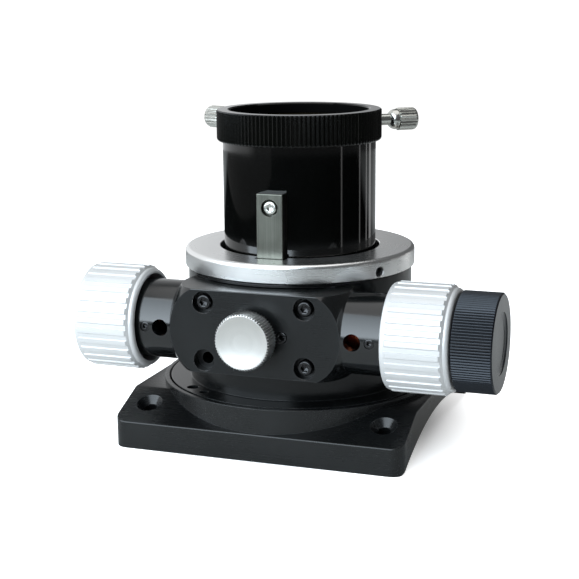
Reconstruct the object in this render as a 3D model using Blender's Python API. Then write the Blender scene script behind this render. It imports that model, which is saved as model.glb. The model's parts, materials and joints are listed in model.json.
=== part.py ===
"""Two-inch dual-speed Crayford focuser for a Newtonian telescope.

Frame: +Z runs up the optical axis, z = 0 is the lowest line of the curved base plate,
+X runs along the drive shaft towards the fine knob, and -Y is the side of the face plate.
All sizes are in metres.
"""
from math import asin, atan2, cos, pi, radians, sin, sqrt

import bmesh
import bpy
from mathutils import Matrix, Vector

MM = 0.001
GAP = 0.3 * MM                   # clearance between pieces that rest on each other

# Facets around a turned piece
LARGE_ROUND = 60
KNOB_ROUND = 36
MEDIUM_ROUND = 20
SMALL_ROUND = 12

# Optical axis
EYEPIECE_BORE_R = 25.6 * MM      # two-inch eyepiece barrel with clearance
DRAWTUBE_R = 28.0 * MM
DRAWTUBE_BORE_R = 25.9 * MM
DRAWTUBE_LOW = 22.0 * MM
DRAWTUBE_HIGH = 110.0 * MM       # drawn fully out, as modelled

# Base plate
BASE_HALF_X = 53.5 * MM
BASE_HALF_Y = 52.0 * MM
BASE_CORNER_R = 4.5 * MM
BASE_FLAT_Z = 17.4 * MM
BASE_BEND_Y = 32.5 * MM
BASE_EDGE_Z = 9.9 * MM
BASE_BORE_R = 34.0 * MM
SADDLE_R = 125.0 * MM            # radius of the telescope tube that the base sits on
SADDLE_TOP_Z = 10.6 * MM
BOSS_R = 51.3 * MM
BOSS_Z = 19.2 * MM
RECESS_R = 49.4 * MM
RECESS_Z = 15.1 * MM
CORNER_HOLE_X = 44.0 * MM
CORNER_HOLE_Y = 41.0 * MM
CORNER_HOLE_R = 2.3 * MM
COUNTERSINK_R = 4.7 * MM
BELOW_BASE = -5.0 * MM           # where tools that cut right through start
ABOVE_BASE = 30.0 * MM           # and end

# Body: a bored barrel on a flange
BARREL_R = 41.4 * MM
BARREL_TOP_Z = 61.1 * MM
FLANGE_R = 49.0 * MM
FLANGE_LOW_Z = 15.4 * MM
FLANGE_TOP_Z = 19.4 * MM
BODY_BORE_R = 29.6 * MM
SPIGOT_R = 34.7 * MM
SPIGOT_Z = 64.8 * MM
TILT_SCREW_CIRCLE_R = 45.3 * MM
PUSH_ANGLES = [radians(229 + 120 * k) for k in range(3)]
PULL_ANGLES = [radians(238.7 + 120 * k) for k in range(3)]
PUSH_SCREW_R = 1.9 * MM
PUSH_SCREW_TOP_Z = 18.4 * MM
PULL_SCREW_R = 1.35 * MM
PULL_HEAD_R = 2.75 * MM
PULL_SEAT_Z = 12.8 * MM
PULL_COUNTERBORE_R = 3.1 * MM
THREAD_CLEARANCE = 0.15 * MM     # between a screw and its hole

# Openings cut through the barrel
SEAT_HALF_X = 30.0 * MM
SHAFT_RELIEF_R = 3.6 * MM
SHAFT_RELIEF_HALF_X = 29.0 * MM
BODY_SLOT_FRONT_Y = -34.5 * MM
RING_SLOT_FRONT_Y = -33.3 * MM
SLOT_BACK_Y = -25.0 * MM

# Top ring
RING_R = 42.5 * MM
RING_LOW_Z = 61.4 * MM
RING_TOP_Z = 68.2 * MM
RING_FILLET = 1.5 * MM
RING_BORE_R = 29.5 * MM
RING_SCREW_Z = 63.5 * MM
RING_SCREW_ANGLES = [radians(-30), radians(150)]

# Drive shaft line
SHAFT_R = 3.0 * MM
SHAFT_Y = -35.5 * MM
SHAFT_Z = 44.9 * MM

# Pinion housing: a turned bar with flats milled on it
FACE_Y = -50.0 * MM
HOUSING_HALF_Z = 14.9 * MM
HOUSING_BACK_Y = -33.9 * MM
HOUSING_FLAT_HALF_X = 22.4 * MM
HOUSING_SHOULDER_X = 31.0 * MM
TUBE_R = 14.2 * MM
TUBE_END_X = 46.3 * MM
TUBE_BORE_R = 10.5 * MM
TUBE_BORE_X = 30.0 * MM
SHAFT_BORE_R = 3.5 * MM
PORT_X = 35.1 * MM
PORT_R = 3.0 * MM
TUBE_SCREW_X = 41.0 * MM
FACE_SCREW_X = 18.4 * MM
FACE_SCREW_DZ = 10.3 * MM
FACE_COUNTERBORE_R = 3.8 * MM
FACE_COUNTERBORE_DEPTH = 3.9 * MM
TENSION_SCREW_X = 10.3 * MM

# Lock screw
LOCK_SHANK_R = 2.4 * MM
LOCK_PAD_FRONT_Y = -40.4 * MM
LOCK_PAD_BACK_Y = -38.8 * MM
LOCK_HEAD_R = 10.0 * MM
LOCK_HEAD_FRONT_Y = -61.0 * MM
LOCK_HEAD_BACK_Y = -53.6 * MM

# Knobs, measured along the shaft
COARSE_KNOB_R = 18.9 * MM
COARSE_RIM_R = 18.3 * MM
COARSE_LENGTH = 23.0 * MM
COARSE_LEFT_X = -67.0 * MM
COARSE_RIGHT_X = 45.4 * MM
COARSE_CUP_R = 15.3 * MM
COARSE_CUP_DEPTH = 5.2 * MM
FINE_KNOB_R = 17.1 * MM
FINE_LOW_X = 68.9 * MM
FINE_HIGH_X = 82.8 * MM
FINE_SHAFT_R = 1.5 * MM
HOLLOW_SHAFT_R = 4.5 * MM
HOLLOW_SHAFT_X = 37.0 * MM
BALL_X = 42.0 * MM
BALL_R = 1.6 * MM
BALL_CIRCLE_R = 3.2 * MM

# Rail on the drawtube
RAIL_HALF_X = 4.9 * MM
RAIL_FRONT_Y = SHAFT_Y + SHAFT_R + 0.1 * MM
RAIL_LOW_Z = 34.0 * MM
RAIL_TOP_Z = 91.1 * MM
RAIL_SCREW_INSET = 5.0 * MM
RAIL_SCREW_R = 1.4 * MM
RAIL_HEAD_R = 2.6 * MM
RAIL_SEAT_Y = RAIL_FRONT_Y + 2.7 * MM
SLOT_HALF_X = 5.5 * MM

# Clamp collar
COLLAR_R = 30.1 * MM
COLLAR_LOW_Z = 106.7 * MM
COLLAR_TOP_Z = 118.0 * MM
CLAMP_Z = 112.6 * MM
CLAMP_ANGLES = {"clamp_screw_right": radians(38), "clamp_screw_left": radians(158)}
CLAMP_SHANK_R = 2.1 * MM
CLAMP_SCREW_PROFILE_MM = [       # radius and distance out from the collar, head first
    (0, 16.1), (3.2, 16.1), (4.2, 15.1), (4.2, 9.1), (3.6, 8.3), (3.0, 7.0),
    (2.2, 5.6), (2.1, 5.0), (2.1, -3.0), (0, -3.0)]
CLAMP_GROOVE_R = 27.0 * MM       # the groove inside the collar for the brass ring
CLAMP_GROOVE_LOW_Z = 110.9 * MM
CLAMP_GROOVE_HIGH_Z = 114.3 * MM

# Roller bearings behind the drawtube
BEARING_R = 5.0 * MM
BEARING_BORE_R = 1.6 * MM
BEARING_HALF_WIDTH = 2.0 * MM
BEARING_CIRCLE_R = DRAWTUBE_R + BEARING_R + 0.1 * MM
BEARING_PLACES = [(radians(52), 31 * MM), (radians(128), 31 * MM),
                  (radians(52), 54.5 * MM), (radians(128), 54.5 * MM)]
AXLE_R = 1.4 * MM
AXLE_HALF_LENGTH = 5.5 * MM
POCKET_LOW = (27.0 * MM, -2.6 * MM, -5.8 * MM)
POCKET_HIGH = (38.9 * MM, 2.6 * MM, 5.8 * MM)

ALONG_X = (0, pi / 2, 0)         # turns a piece's own +Z to world +X
ALONG_BACK = (-pi / 2, 0, 0)     # turns a piece's own +Z to world +Y


# ---------------------------------------------------------------- helpers

def clear_scene():
    for item in list(bpy.data.objects):
        bpy.data.objects.remove(item, do_unlink=True)


def make_material(name, color, roughness, metallic):
    material = bpy.data.materials.new(name)
    material.use_nodes = True
    shader = material.node_tree.nodes["Principled BSDF"]
    shader.inputs["Base Color"].default_value = (*color, 1)
    shader.inputs["Roughness"].default_value = roughness
    shader.inputs["Metallic"].default_value = metallic
    material.diffuse_color = (*color, 1)
    return material


def place(name, mesh_data, material=None, at=(0, 0, 0), turn=(0, 0, 0), parent=None):
    """Put a bmesh into the scene as a named object."""
    mesh = bpy.data.meshes.new(name)
    bmesh.ops.recalc_face_normals(mesh_data, faces=mesh_data.faces)
    mesh_data.to_mesh(mesh)
    mesh_data.free()
    mesh.shade_smooth()
    mesh.set_sharp_from_angle(angle=radians(32))
    if material:
        mesh.materials.append(material)
    item = bpy.data.objects.new(name, mesh)
    item.location = at
    item.rotation_euler = turn
    item.parent = parent
    bpy.context.collection.objects.link(item)
    return item


def make_empty(name, at, turn=(0, 0, 0), parent=None):
    """A joint's axis: its own +Z lies along the axis."""
    empty = bpy.data.objects.new(name, None)
    empty.location = at
    empty.rotation_euler = turn
    empty.parent = parent
    empty.empty_display_size = 10 * MM
    bpy.context.collection.objects.link(empty)
    return empty


def combine(target, operation, tool_mesh, at=(0, 0, 0), turn=(0, 0, 0)):
    """Boolean a tool, given as a bmesh, into the target with a modifier."""
    tool = place("tool_" + target.name, tool_mesh, at=at, turn=turn)
    tool.hide_render = True
    tool.display_type = "WIRE"
    modifier = target.modifiers.new(operation.lower(), "BOOLEAN")
    modifier.operation = operation
    modifier.object = tool


def turned(profile, segments):
    """Turn a profile of (radius, height) points about Z.

    A profile that starts and ends on the axis makes a solid, any other one closes on
    itself and makes a ring. A point given as ("hex", apothem, height) makes a hexagon.
    """
    shape = bmesh.new()
    rings = []
    for point in profile:
        height = point[-1]
        if point[0] == 0:
            rings.append([shape.verts.new((0, 0, height))])
            continue
        ring = []
        for k in range(segments):
            angle = 2 * pi * k / segments
            radius = point[0]
            if radius == "hex":
                radius = point[1] / cos(angle % (pi / 3) - pi / 6)
            ring.append(shape.verts.new((radius * cos(angle), radius * sin(angle), height)))
        rings.append(ring)
    if len(rings[0]) > 1:
        rings.append(rings[0])
    for upper, lower in zip(rings, rings[1:]):
        for k in range(segments):
            corners = [upper[k % len(upper)], upper[(k + 1) % len(upper)],
                       lower[(k + 1) % len(lower)], lower[k % len(lower)]]
            unique = list(dict.fromkeys(corners))
            shape.faces.new(unique)
    return shape


def join(shapes):
    """Gather separate bmeshes into one tool mesh."""
    result = bmesh.new()
    for shape in shapes:
        mesh = bpy.data.meshes.new("part_of_tool")
        bmesh.ops.recalc_face_normals(shape, faces=shape.faces)
        shape.to_mesh(mesh)
        shape.free()
        result.from_mesh(mesh)
        bpy.data.meshes.remove(mesh)
    return result


def moved(shape, at=(0, 0, 0), turn=None):
    """Turn a bmesh with a rotation matrix, then shift it."""
    matrix = Matrix.Translation(Vector(at))
    if turn is not None:
        matrix = matrix @ turn
    bmesh.ops.transform(shape, matrix=matrix, verts=shape.verts)
    return shape


def rod(radius, low, high, segments=SMALL_ROUND):
    return turned([(0, high), (radius, high), (radius, low), (0, low)], segments)


def block(low, high):
    """A box between two opposite corners."""
    shape = bmesh.new()
    bmesh.ops.create_cube(shape, size=1)
    size = Vector(high) - Vector(low)
    middle = (Vector(high) + Vector(low)) / 2
    bmesh.ops.transform(shape, matrix=Matrix.Translation(middle) @ Matrix.Diagonal((*size, 1)),
                        verts=shape.verts)
    return shape


def prism(outline, low, high):
    """Extrude a closed outline of (x, y) points from one height to another."""
    shape = bmesh.new()
    face = shape.faces.new([shape.verts.new((x, y, low)) for x, y in outline])
    grown = bmesh.ops.extrude_face_region(shape, geom=[face])
    risen = [part for part in grown["geom"] if isinstance(part, bmesh.types.BMVert)]
    bmesh.ops.translate(shape, vec=(0, 0, high - low), verts=risen)
    return shape


def arc(center, radius, start, end, steps):
    """Points on an arc, both ends included, for outlines and profiles."""
    return [(center[0] + radius * cos(start + (end - start) * k / steps),
             center[1] + radius * sin(start + (end - start) * k / steps))
            for k in range(steps + 1)]


def around(angle, radius, height):
    return (radius * cos(angle), radius * sin(angle), height)


def facing(angle):
    """Rotation that turns +Z to point away from the optical axis at an angle."""
    return Matrix.Rotation(angle, 4, "Z") @ Matrix.Rotation(pi / 2, 4, "Y")


POINT_BACK = Matrix.Rotation(-pi / 2, 4, "X")
POINT_RIGHT = Matrix.Rotation(pi / 2, 4, "Y")


def cap_screw(head_r, head_height, shank_r, length, key):
    """A socket head cap screw, its head seated at z = 0 and its shank running down."""
    chamfer = 0.3 * MM
    socket_low = head_height * 0.45
    return turned([(0, socket_low), ("hex", key / 2, socket_low), ("hex", key / 2, head_height),
                   (head_r - chamfer, head_height), (head_r, head_height - chamfer),
                   (head_r, 0), (shank_r, 0), (shank_r, -length), (0, -length)],
                  SMALL_ROUND)


def set_screw(radius, length, key):
    """A headless socket screw from z = 0, its driving end, down to -length."""
    chamfer = 0.25 * MM
    socket_low = -length * 0.5
    return turned([(0, socket_low), ("hex", key / 2, socket_low), ("hex", key / 2, 0),
                   (radius - chamfer, 0), (radius, -chamfer), (radius, -length),
                   (0, -length)], SMALL_ROUND)


# ---------------------------------------------------------------- base

def build_base(material):
    """Square plate with sloping wings, a round boss and an arched underside."""
    outline = [(-BASE_HALF_Y, 0), (BASE_HALF_Y, 0), (BASE_HALF_Y, BASE_EDGE_Z),
               (BASE_BEND_Y, BASE_FLAT_Z), (-BASE_BEND_Y, BASE_FLAT_Z),
               (-BASE_HALF_Y, BASE_EDGE_Z)]
    upright = Matrix.Rotation(pi / 2, 4, "Z") @ Matrix.Rotation(pi / 2, 4, "X")
    plate_mesh = moved(prism(outline, -BASE_HALF_X, BASE_HALF_X), turn=upright)
    plate = place("base_plate", plate_mesh, material)

    x, y = BASE_HALF_X - BASE_CORNER_R, BASE_HALF_Y - BASE_CORNER_R
    rounded = []
    for center, start in (((x, y), 0), ((-x, y), pi / 2), ((-x, -y), pi), ((x, -y), 1.5 * pi)):
        rounded += arc(center, BASE_CORNER_R, start, start + pi / 2, 5)
    combine(plate, "INTERSECT", prism(rounded, BELOW_BASE, ABOVE_BASE))
    combine(plate, "UNION", rod(BOSS_R, 4 * MM, BOSS_Z, LARGE_ROUND))
    passage = [(0, ABOVE_BASE), (RECESS_R, ABOVE_BASE), (RECESS_R, RECESS_Z),
               (BASE_BORE_R, RECESS_Z), (BASE_BORE_R, BELOW_BASE), (0, BELOW_BASE)]
    combine(plate, "DIFFERENCE", turned(passage, LARGE_ROUND))
    saddle = rod(SADDLE_R, -70 * MM, 70 * MM, 2 * LARGE_ROUND)
    combine(plate, "DIFFERENCE", moved(saddle, (0, 0, SADDLE_TOP_Z - SADDLE_R), POINT_RIGHT))

    slope = atan2(BASE_FLAT_Z - BASE_EDGE_Z, BASE_HALF_Y - BASE_BEND_Y)
    hole_z = BASE_FLAT_Z - (CORNER_HOLE_Y - BASE_BEND_Y) * (BASE_FLAT_Z - BASE_EDGE_Z) / (
        BASE_HALF_Y - BASE_BEND_Y)
    sink = COUNTERSINK_R - CORNER_HOLE_R
    holes = []
    for side_x in (-1, 1):
        for side_y in (-1, 1):
            hole = turned([(0, 5 * MM), (COUNTERSINK_R + 5 * MM, 5 * MM),
                           (CORNER_HOLE_R, -sink), (CORNER_HOLE_R, -25 * MM),
                           (0, -25 * MM)], MEDIUM_ROUND)
            tilt = Matrix.Rotation(-side_y * slope, 4, "X")
            holes.append(moved(hole, (side_x * CORNER_HOLE_X, side_y * CORNER_HOLE_Y, hole_z),
                               tilt))
    for angle in PULL_ANGLES:
        shank_r, seat_z = PULL_SCREW_R + 2 * THREAD_CLEARANCE, PULL_SEAT_Z + GAP
        hole = turned([(0, ABOVE_BASE), (shank_r, ABOVE_BASE), (shank_r, seat_z),
                       (PULL_COUNTERBORE_R, seat_z), (PULL_COUNTERBORE_R, BELOW_BASE),
                       (0, BELOW_BASE)], SMALL_ROUND)
        holes.append(moved(hole, around(angle, TILT_SCREW_CIRCLE_R, 0)))
    combine(plate, "DIFFERENCE", join(holes))


def build_tilt_screws(material):
    """Push and pull screws that square the body to the base."""
    for k, angle in enumerate(PUSH_ANGLES, 1):
        place(f"push_screw_{k}", set_screw(PUSH_SCREW_R, 3.0 * MM, 2.0 * MM), material,
              at=around(angle, TILT_SCREW_CIRCLE_R, PUSH_SCREW_TOP_Z))
    for k, angle in enumerate(PULL_ANGLES, 1):
        screw = cap_screw(PULL_HEAD_R, 2.0 * MM, PULL_SCREW_R, 5.6 * MM, 2.0 * MM)
        place(f"pull_screw_{k}", screw, material,
              at=around(angle, TILT_SCREW_CIRCLE_R, PULL_SEAT_Z), turn=(pi, 0, 0))


# ---------------------------------------------------------------- body

def build_body(material):
    """Barrel with a milled front seat, a rail slot and four bearing pockets."""
    edge = 0.6 * MM
    profile = [(BODY_BORE_R, SPIGOT_Z), (SPIGOT_R, SPIGOT_Z), (SPIGOT_R, BARREL_TOP_Z),
               (BARREL_R, BARREL_TOP_Z), (BARREL_R, FLANGE_TOP_Z),
               (FLANGE_R - edge, FLANGE_TOP_Z), (FLANGE_R, FLANGE_TOP_Z - edge),
               (FLANGE_R, FLANGE_LOW_Z), (BODY_BORE_R, FLANGE_LOW_Z)]
    body = place("focuser_body", turned(profile, LARGE_ROUND), material)

    seat_y = HOUSING_BACK_Y + GAP
    low, high = SHAFT_Z - HOUSING_HALF_Z - GAP, SHAFT_Z + HOUSING_HALF_Z + GAP
    combine(body, "DIFFERENCE", block((-SEAT_HALF_X, -BARREL_R - FLANGE_R, low),
                                      (SEAT_HALF_X, seat_y, high)))
    combine(body, "DIFFERENCE", block((-SLOT_HALF_X, BODY_SLOT_FRONT_Y, 0),
                                      (SLOT_HALF_X, SLOT_BACK_Y, RING_TOP_Z)))
    relief = rod(SHAFT_RELIEF_R, -SHAFT_RELIEF_HALF_X, SHAFT_RELIEF_HALF_X, MEDIUM_ROUND)
    combine(body, "DIFFERENCE", moved(relief, (0, SHAFT_Y, SHAFT_Z), POINT_RIGHT))
    pockets, axle_holes = [], []
    for angle, height in BEARING_PLACES:
        turn = Matrix.Rotation(angle, 4, "Z")
        pockets.append(moved(block(POCKET_LOW, POCKET_HIGH), (0, 0, height), turn))
        reach = AXLE_HALF_LENGTH + GAP
        hole = moved(rod(AXLE_R + THREAD_CLEARANCE, -reach, reach),
                     (BEARING_CIRCLE_R, 0, 0), POINT_BACK)
        axle_holes.append(moved(hole, (0, 0, height), turn))
    combine(body, "DIFFERENCE", join(pockets))
    combine(body, "DIFFERENCE", join(axle_holes))

    holes = []
    for x in (-FACE_SCREW_X, FACE_SCREW_X):
        for dz in (-FACE_SCREW_DZ, FACE_SCREW_DZ):
            holes.append(moved(rod(1.7 * MM, -40 * MM, -27 * MM), (x, 0, SHAFT_Z + dz),
                               POINT_BACK))
    for angle in PUSH_ANGLES:
        holes.append(moved(rod(PUSH_SCREW_R + THREAD_CLEARANCE, 0, ABOVE_BASE),
                           around(angle, TILT_SCREW_CIRCLE_R, 0)))
    for angle in PULL_ANGLES:
        holes.append(moved(rod(PULL_SCREW_R + THREAD_CLEARANCE, 0, ABOVE_BASE),
                           around(angle, TILT_SCREW_CIRCLE_R, 0)))
    combine(body, "DIFFERENCE", join(holes))


def build_top_ring(material, screw_material):
    """Bright ring on the barrel, held by two radial set screws."""
    seat_r, seat_z = SPIGOT_R + GAP, SPIGOT_Z + GAP
    fillet = arc((RING_R - RING_FILLET, RING_TOP_Z - RING_FILLET), RING_FILLET, pi / 2, 0, 3)
    profile = [(RING_BORE_R, RING_TOP_Z)] + fillet + [
        (RING_R, RING_LOW_Z + 0.4 * MM), (RING_R - 0.4 * MM, RING_LOW_Z), (seat_r, RING_LOW_Z),
        (seat_r, seat_z), (RING_BORE_R, seat_z)]
    ring = place("top_ring", turned(profile, LARGE_ROUND), material)
    combine(ring, "DIFFERENCE", block((-SLOT_HALF_X, RING_SLOT_FRONT_Y, 0),
                                      (SLOT_HALF_X, SLOT_BACK_Y, 2 * RING_TOP_Z)))
    holes = [moved(rod(1.65 * MM, 33 * MM, 50 * MM), (0, 0, RING_SCREW_Z), facing(angle))
             for angle in RING_SCREW_ANGLES]
    combine(ring, "DIFFERENCE", join(holes))
    for k, angle in enumerate(RING_SCREW_ANGLES, 1):
        place(f"ring_set_screw_{k}", set_screw(1.5 * MM, 4.0 * MM, 1.5 * MM), screw_material,
              at=around(angle, 39.2 * MM, RING_SCREW_Z), turn=(0, pi / 2, angle))


def build_bearings(race_material, axle_material):
    """Four ball bearings that the drawtube runs on, each on its own axle."""
    half = BEARING_HALF_WIDTH
    for k, (angle, height) in enumerate(BEARING_PLACES, 1):
        turn = (-pi / 2, 0, angle)
        axis = make_empty(f"bearing_axis_{k}", around(angle, BEARING_CIRCLE_R, height), turn)
        race = [(BEARING_BORE_R, half), (BEARING_R, half), (BEARING_R, -half),
                (BEARING_BORE_R, -half)]
        place(f"roller_bearing_{k}", turned(race, MEDIUM_ROUND), race_material, parent=axis)
        place(f"bearing_axle_{k}", rod(AXLE_R, -AXLE_HALF_LENGTH, AXLE_HALF_LENGTH),
              axle_material, at=around(angle, BEARING_CIRCLE_R, height), turn=turn)


# ---------------------------------------------------------------- pinion housing

def shoulder_profile():
    """The turned shoulder from the milled middle down to the tube, for x > 0."""
    start_r = sqrt((FACE_Y - SHAFT_Y) ** 2 + HOUSING_HALF_Z ** 2)
    start = Vector((HOUSING_FLAT_HALF_X, start_r))
    end = Vector((HOUSING_SHOULDER_X, abs(FACE_Y - SHAFT_Y)))
    chord = end - start
    bulge = 0.9 * MM
    radius = (chord.length ** 2 / 4 + bulge ** 2) / (2 * bulge)
    normal = Vector((chord.y, -chord.x)).normalized()
    center = (start + end) / 2 + normal * (radius - bulge)
    first = atan2(start.y - center.y, start.x - center.x)
    last = atan2(end.y - center.y, end.x - center.x)
    points = arc(center, radius, first, last, 4)
    return [(r, x) for x, r in points]


def build_housing(material):
    """Turned bar with a face plate in front and its ends bored for the drive."""
    shoulder = shoulder_profile()
    wide = shoulder[0][0] + 0.5 * MM
    middle_x = HOUSING_FLAT_HALF_X - 0.5 * MM
    right = [(wide, middle_x)] + shoulder + [(TUBE_R, HOUSING_SHOULDER_X + 0.3 * MM),
                                             (TUBE_R, TUBE_END_X)]
    profile = [(0, TUBE_END_X)] + right[::-1] + [(r, -x) for r, x in right] + [(0, -TUBE_END_X)]
    housing = place("pinion_housing", turned(profile, 2 * MEDIUM_ROUND), material,
                    at=(0, SHAFT_Y, SHAFT_Z), turn=ALONG_X)
    low, high = SHAFT_Z - HOUSING_HALF_Z, SHAFT_Z + HOUSING_HALF_Z
    combine(housing, "INTERSECT", block((-60 * MM, FACE_Y, low), (60 * MM, 0, high)))

    clear_r = BARREL_R + GAP
    edge_angle = asin(HOUSING_BACK_Y / clear_r)
    outline = arc((0, 0), clear_r, edge_angle, pi - edge_angle, 44)
    combine(housing, "DIFFERENCE", prism(outline, 10 * MM, 80 * MM))

    bore = [(0, 60 * MM), (TUBE_BORE_R, 60 * MM), (TUBE_BORE_R, TUBE_BORE_X),
            (SHAFT_BORE_R, TUBE_BORE_X), (SHAFT_BORE_R, -TUBE_BORE_X),
            (TUBE_BORE_R, -TUBE_BORE_X), (TUBE_BORE_R, -60 * MM), (0, -60 * MM)]
    combine(housing, "DIFFERENCE", turned(bore, MEDIUM_ROUND), at=(0, SHAFT_Y, SHAFT_Z),
            turn=ALONG_X)

    floor_y = FACE_Y + FACE_COUNTERBORE_DEPTH
    holes = []
    for x in (-FACE_SCREW_X, FACE_SCREW_X):
        for dz in (-FACE_SCREW_DZ, FACE_SCREW_DZ):
            empty_hole = x < 0 and dz < 0
            radius = 2.1 * MM if empty_hole else 1.7 * MM
            hole = turned([(0, -20 * MM), (radius, -20 * MM), (radius, floor_y),
                           (FACE_COUNTERBORE_R, floor_y), (FACE_COUNTERBORE_R, -60 * MM),
                           (0, -60 * MM)], SMALL_ROUND)
            holes.append(moved(hole, (x, 0, SHAFT_Z + dz), POINT_BACK))
    for side in (-1, 1):
        holes.append(moved(rod(PORT_R, -60 * MM, -40 * MM), (side * PORT_X, 0, SHAFT_Z),
                           POINT_BACK))
        holes.append(moved(rod(1.75 * MM, -60 * MM, -40 * MM),
                           (side * TUBE_SCREW_X, 0, SHAFT_Z), POINT_BACK))
    holes.append(moved(rod(LOCK_SHANK_R + 0.25 * MM, -60 * MM, -36 * MM), (0, 0, SHAFT_Z),
                       POINT_BACK))
    holes.append(moved(rod(1.85 * MM, -60 * MM, -41 * MM), (TENSION_SCREW_X, 0, SHAFT_Z),
                       POINT_BACK))
    combine(housing, "DIFFERENCE", join(holes))


def build_housing_screws(material):
    """Cap screws in the face plate, one counterbore being left empty, and set screws."""
    seat_y = FACE_Y + FACE_COUNTERBORE_DEPTH - GAP
    corners = [(-1, 1), (1, 1), (1, -1)]
    for k, (side_x, side_z) in enumerate(corners, 1):
        place(f"housing_screw_{k}", cap_screw(2.75 * MM, 3.0 * MM, 1.5 * MM, 17 * MM, 2.5 * MM),
              material, at=(side_x * FACE_SCREW_X, seat_y, SHAFT_Z + side_z * FACE_SCREW_DZ),
              turn=(pi / 2, 0, 0))
    place("tension_set_screw", set_screw(1.7 * MM, 7.0 * MM, 2.0 * MM), material,
          at=(TENSION_SCREW_X, FACE_Y - 0.1 * MM, SHAFT_Z), turn=(pi / 2, 0, 0))
    for name, side in (("tube_set_screw_left", -1), ("tube_set_screw_right", 1)):
        place(name, set_screw(1.6 * MM, 3.2 * MM, 1.5 * MM), material,
              at=(side * TUBE_SCREW_X, SHAFT_Y - 13.9 * MM, SHAFT_Z), turn=(pi / 2, 0, 0))


def build_lock(knob_material, pad_material):
    """Thumb screw through the face plate, with a soft pad that presses on the shaft."""
    axis = make_empty("lock_axis", (0, FACE_Y, SHAFT_Z), ALONG_BACK)
    front, back = LOCK_HEAD_FRONT_Y - FACE_Y, LOCK_HEAD_BACK_Y - FACE_Y
    edge = 0.7 * MM
    tip = LOCK_PAD_FRONT_Y - GAP - FACE_Y
    profile = [(0, front), (LOCK_HEAD_R - edge, front), (LOCK_HEAD_R, front + edge),
               (LOCK_HEAD_R, back - edge), (LOCK_HEAD_R - edge, back), (4.5 * MM, back),
               (4.5 * MM, -1.2 * MM), (LOCK_SHANK_R, -1.2 * MM), (LOCK_SHANK_R, tip), (0, tip)]
    place("lock_knob", turned(profile, KNOB_ROUND), knob_material, parent=axis)
    place("lock_pad", rod(2.3 * MM, LOCK_PAD_FRONT_Y - FACE_Y, LOCK_PAD_BACK_Y - FACE_Y),
          pad_material, parent=axis)


# ---------------------------------------------------------------- drive

def coarse_knob(rim_first, hub_bore_r, through):
    """A coarse knob from its low end, z = 0, with its cup at z = 0 or at the far end.

    rim_first is true when the cup faces down. The fluted band lies between a plain
    rounded rim and a longer conical end.
    """
    end = COARSE_LENGTH
    band_low, band_high = 1.8 * MM, end - 2.8 * MM
    outside = arc((COARSE_RIM_R - 1.2 * MM, 1.2 * MM), 1.2 * MM, -pi / 2, 0, 3)
    outside += [(COARSE_RIM_R, band_low), (COARSE_KNOB_R, band_low), (COARSE_KNOB_R, band_high),
                (COARSE_RIM_R, band_high), (COARSE_RIM_R - 0.2 * MM, band_high + 1.1 * MM),
                (16.6 * MM, end)]
    outside = outside[::-1]
    cup = COARSE_CUP_DEPTH
    bore_depth = 6 * MM
    if rim_first:
        top = [(hub_bore_r, end)] if through else [(0, end)]
        bottom = [(COARSE_CUP_R, 0), (COARSE_CUP_R, cup), (hub_bore_r, cup)]
        if not through:
            bottom += [(hub_bore_r, end - bore_depth), (0, end - bore_depth)]
        return turned(top + outside + bottom, KNOB_ROUND)
    top = [(0, bore_depth), (hub_bore_r, bore_depth), (hub_bore_r, end - cup),
           (COARSE_CUP_R, end - cup), (COARSE_CUP_R + 0.8 * MM, end)]
    return turned(top + outside + [(0, 0)], KNOB_ROUND)


def build_drive(parts):
    """Everything that turns with the coarse knobs."""
    axis = make_empty("coarse_axis", (0, SHAFT_Y, SHAFT_Z), ALONG_X)
    solid = [(0, 40 * MM), (1.8 * MM, 40 * MM), (1.8 * MM, 63 * MM),
             (HOLLOW_SHAFT_R, 63 * MM), (HOLLOW_SHAFT_R, HOLLOW_SHAFT_X),
             (SHAFT_R, HOLLOW_SHAFT_X), (SHAFT_R, -60 * MM), (0, -60 * MM)]
    shaft = place("drive_shaft", turned(solid, MEDIUM_ROUND), parts["steel"], parent=axis)
    pockets = [moved(rod(BALL_R + 0.15 * MM, 1 * MM, 6 * MM), (0, 0, BALL_X),
                     Matrix.Rotation(2 * pi * k / 3, 4, "Z") @ Matrix.Rotation(pi / 2, 4, "Y"))
               for k in range(3)]
    combine(shaft, "DIFFERENCE", join(pockets), at=(0, SHAFT_Y, SHAFT_Z), turn=ALONG_X)
    for k in range(3):
        ball = bmesh.new()
        bmesh.ops.create_icosphere(ball, subdivisions=2, radius=BALL_R)
        place(f"reducer_ball_{k + 1}", ball, parts["steel"],
              at=around(2 * pi * k / 3, BALL_CIRCLE_R, BALL_X), parent=axis)
    sleeve = [(3.2 * MM, 37 * MM - GAP), (6.8 * MM, 37 * MM - GAP), (6.8 * MM, 31 * MM),
              (3.2 * MM, 31 * MM)]
    place("spacer_sleeve", turned(sleeve, MEDIUM_ROUND), parts["bronze"], parent=axis)

    left = place("coarse_knob_left", coarse_knob(False, 3.2 * MM, False), parts["silver"],
                 at=(0, 0, COARSE_LEFT_X), parent=axis)
    right = place("coarse_knob_right", coarse_knob(True, 4.7 * MM, True), parts["silver"],
                  at=(0, 0, COARSE_RIGHT_X), parent=axis)
    for name, knob, x, inner in (("coarse_grub_left", left, -56 * MM, SHAFT_R),
                                 ("coarse_grub_right", right, 57 * MM, HOLLOW_SHAFT_R)):
        grub_length = 5 * MM
        start = inner + GAP
        hole = moved(rod(1.65 * MM, 1 * MM, 25 * MM), (x, SHAFT_Y, SHAFT_Z), POINT_BACK)
        combine(knob, "DIFFERENCE", hole)
        place(name, set_screw(1.5 * MM, grub_length, 1.5 * MM), parts["screw"],
              at=(0, start + grub_length, x), turn=ALONG_BACK, parent=axis)


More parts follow.
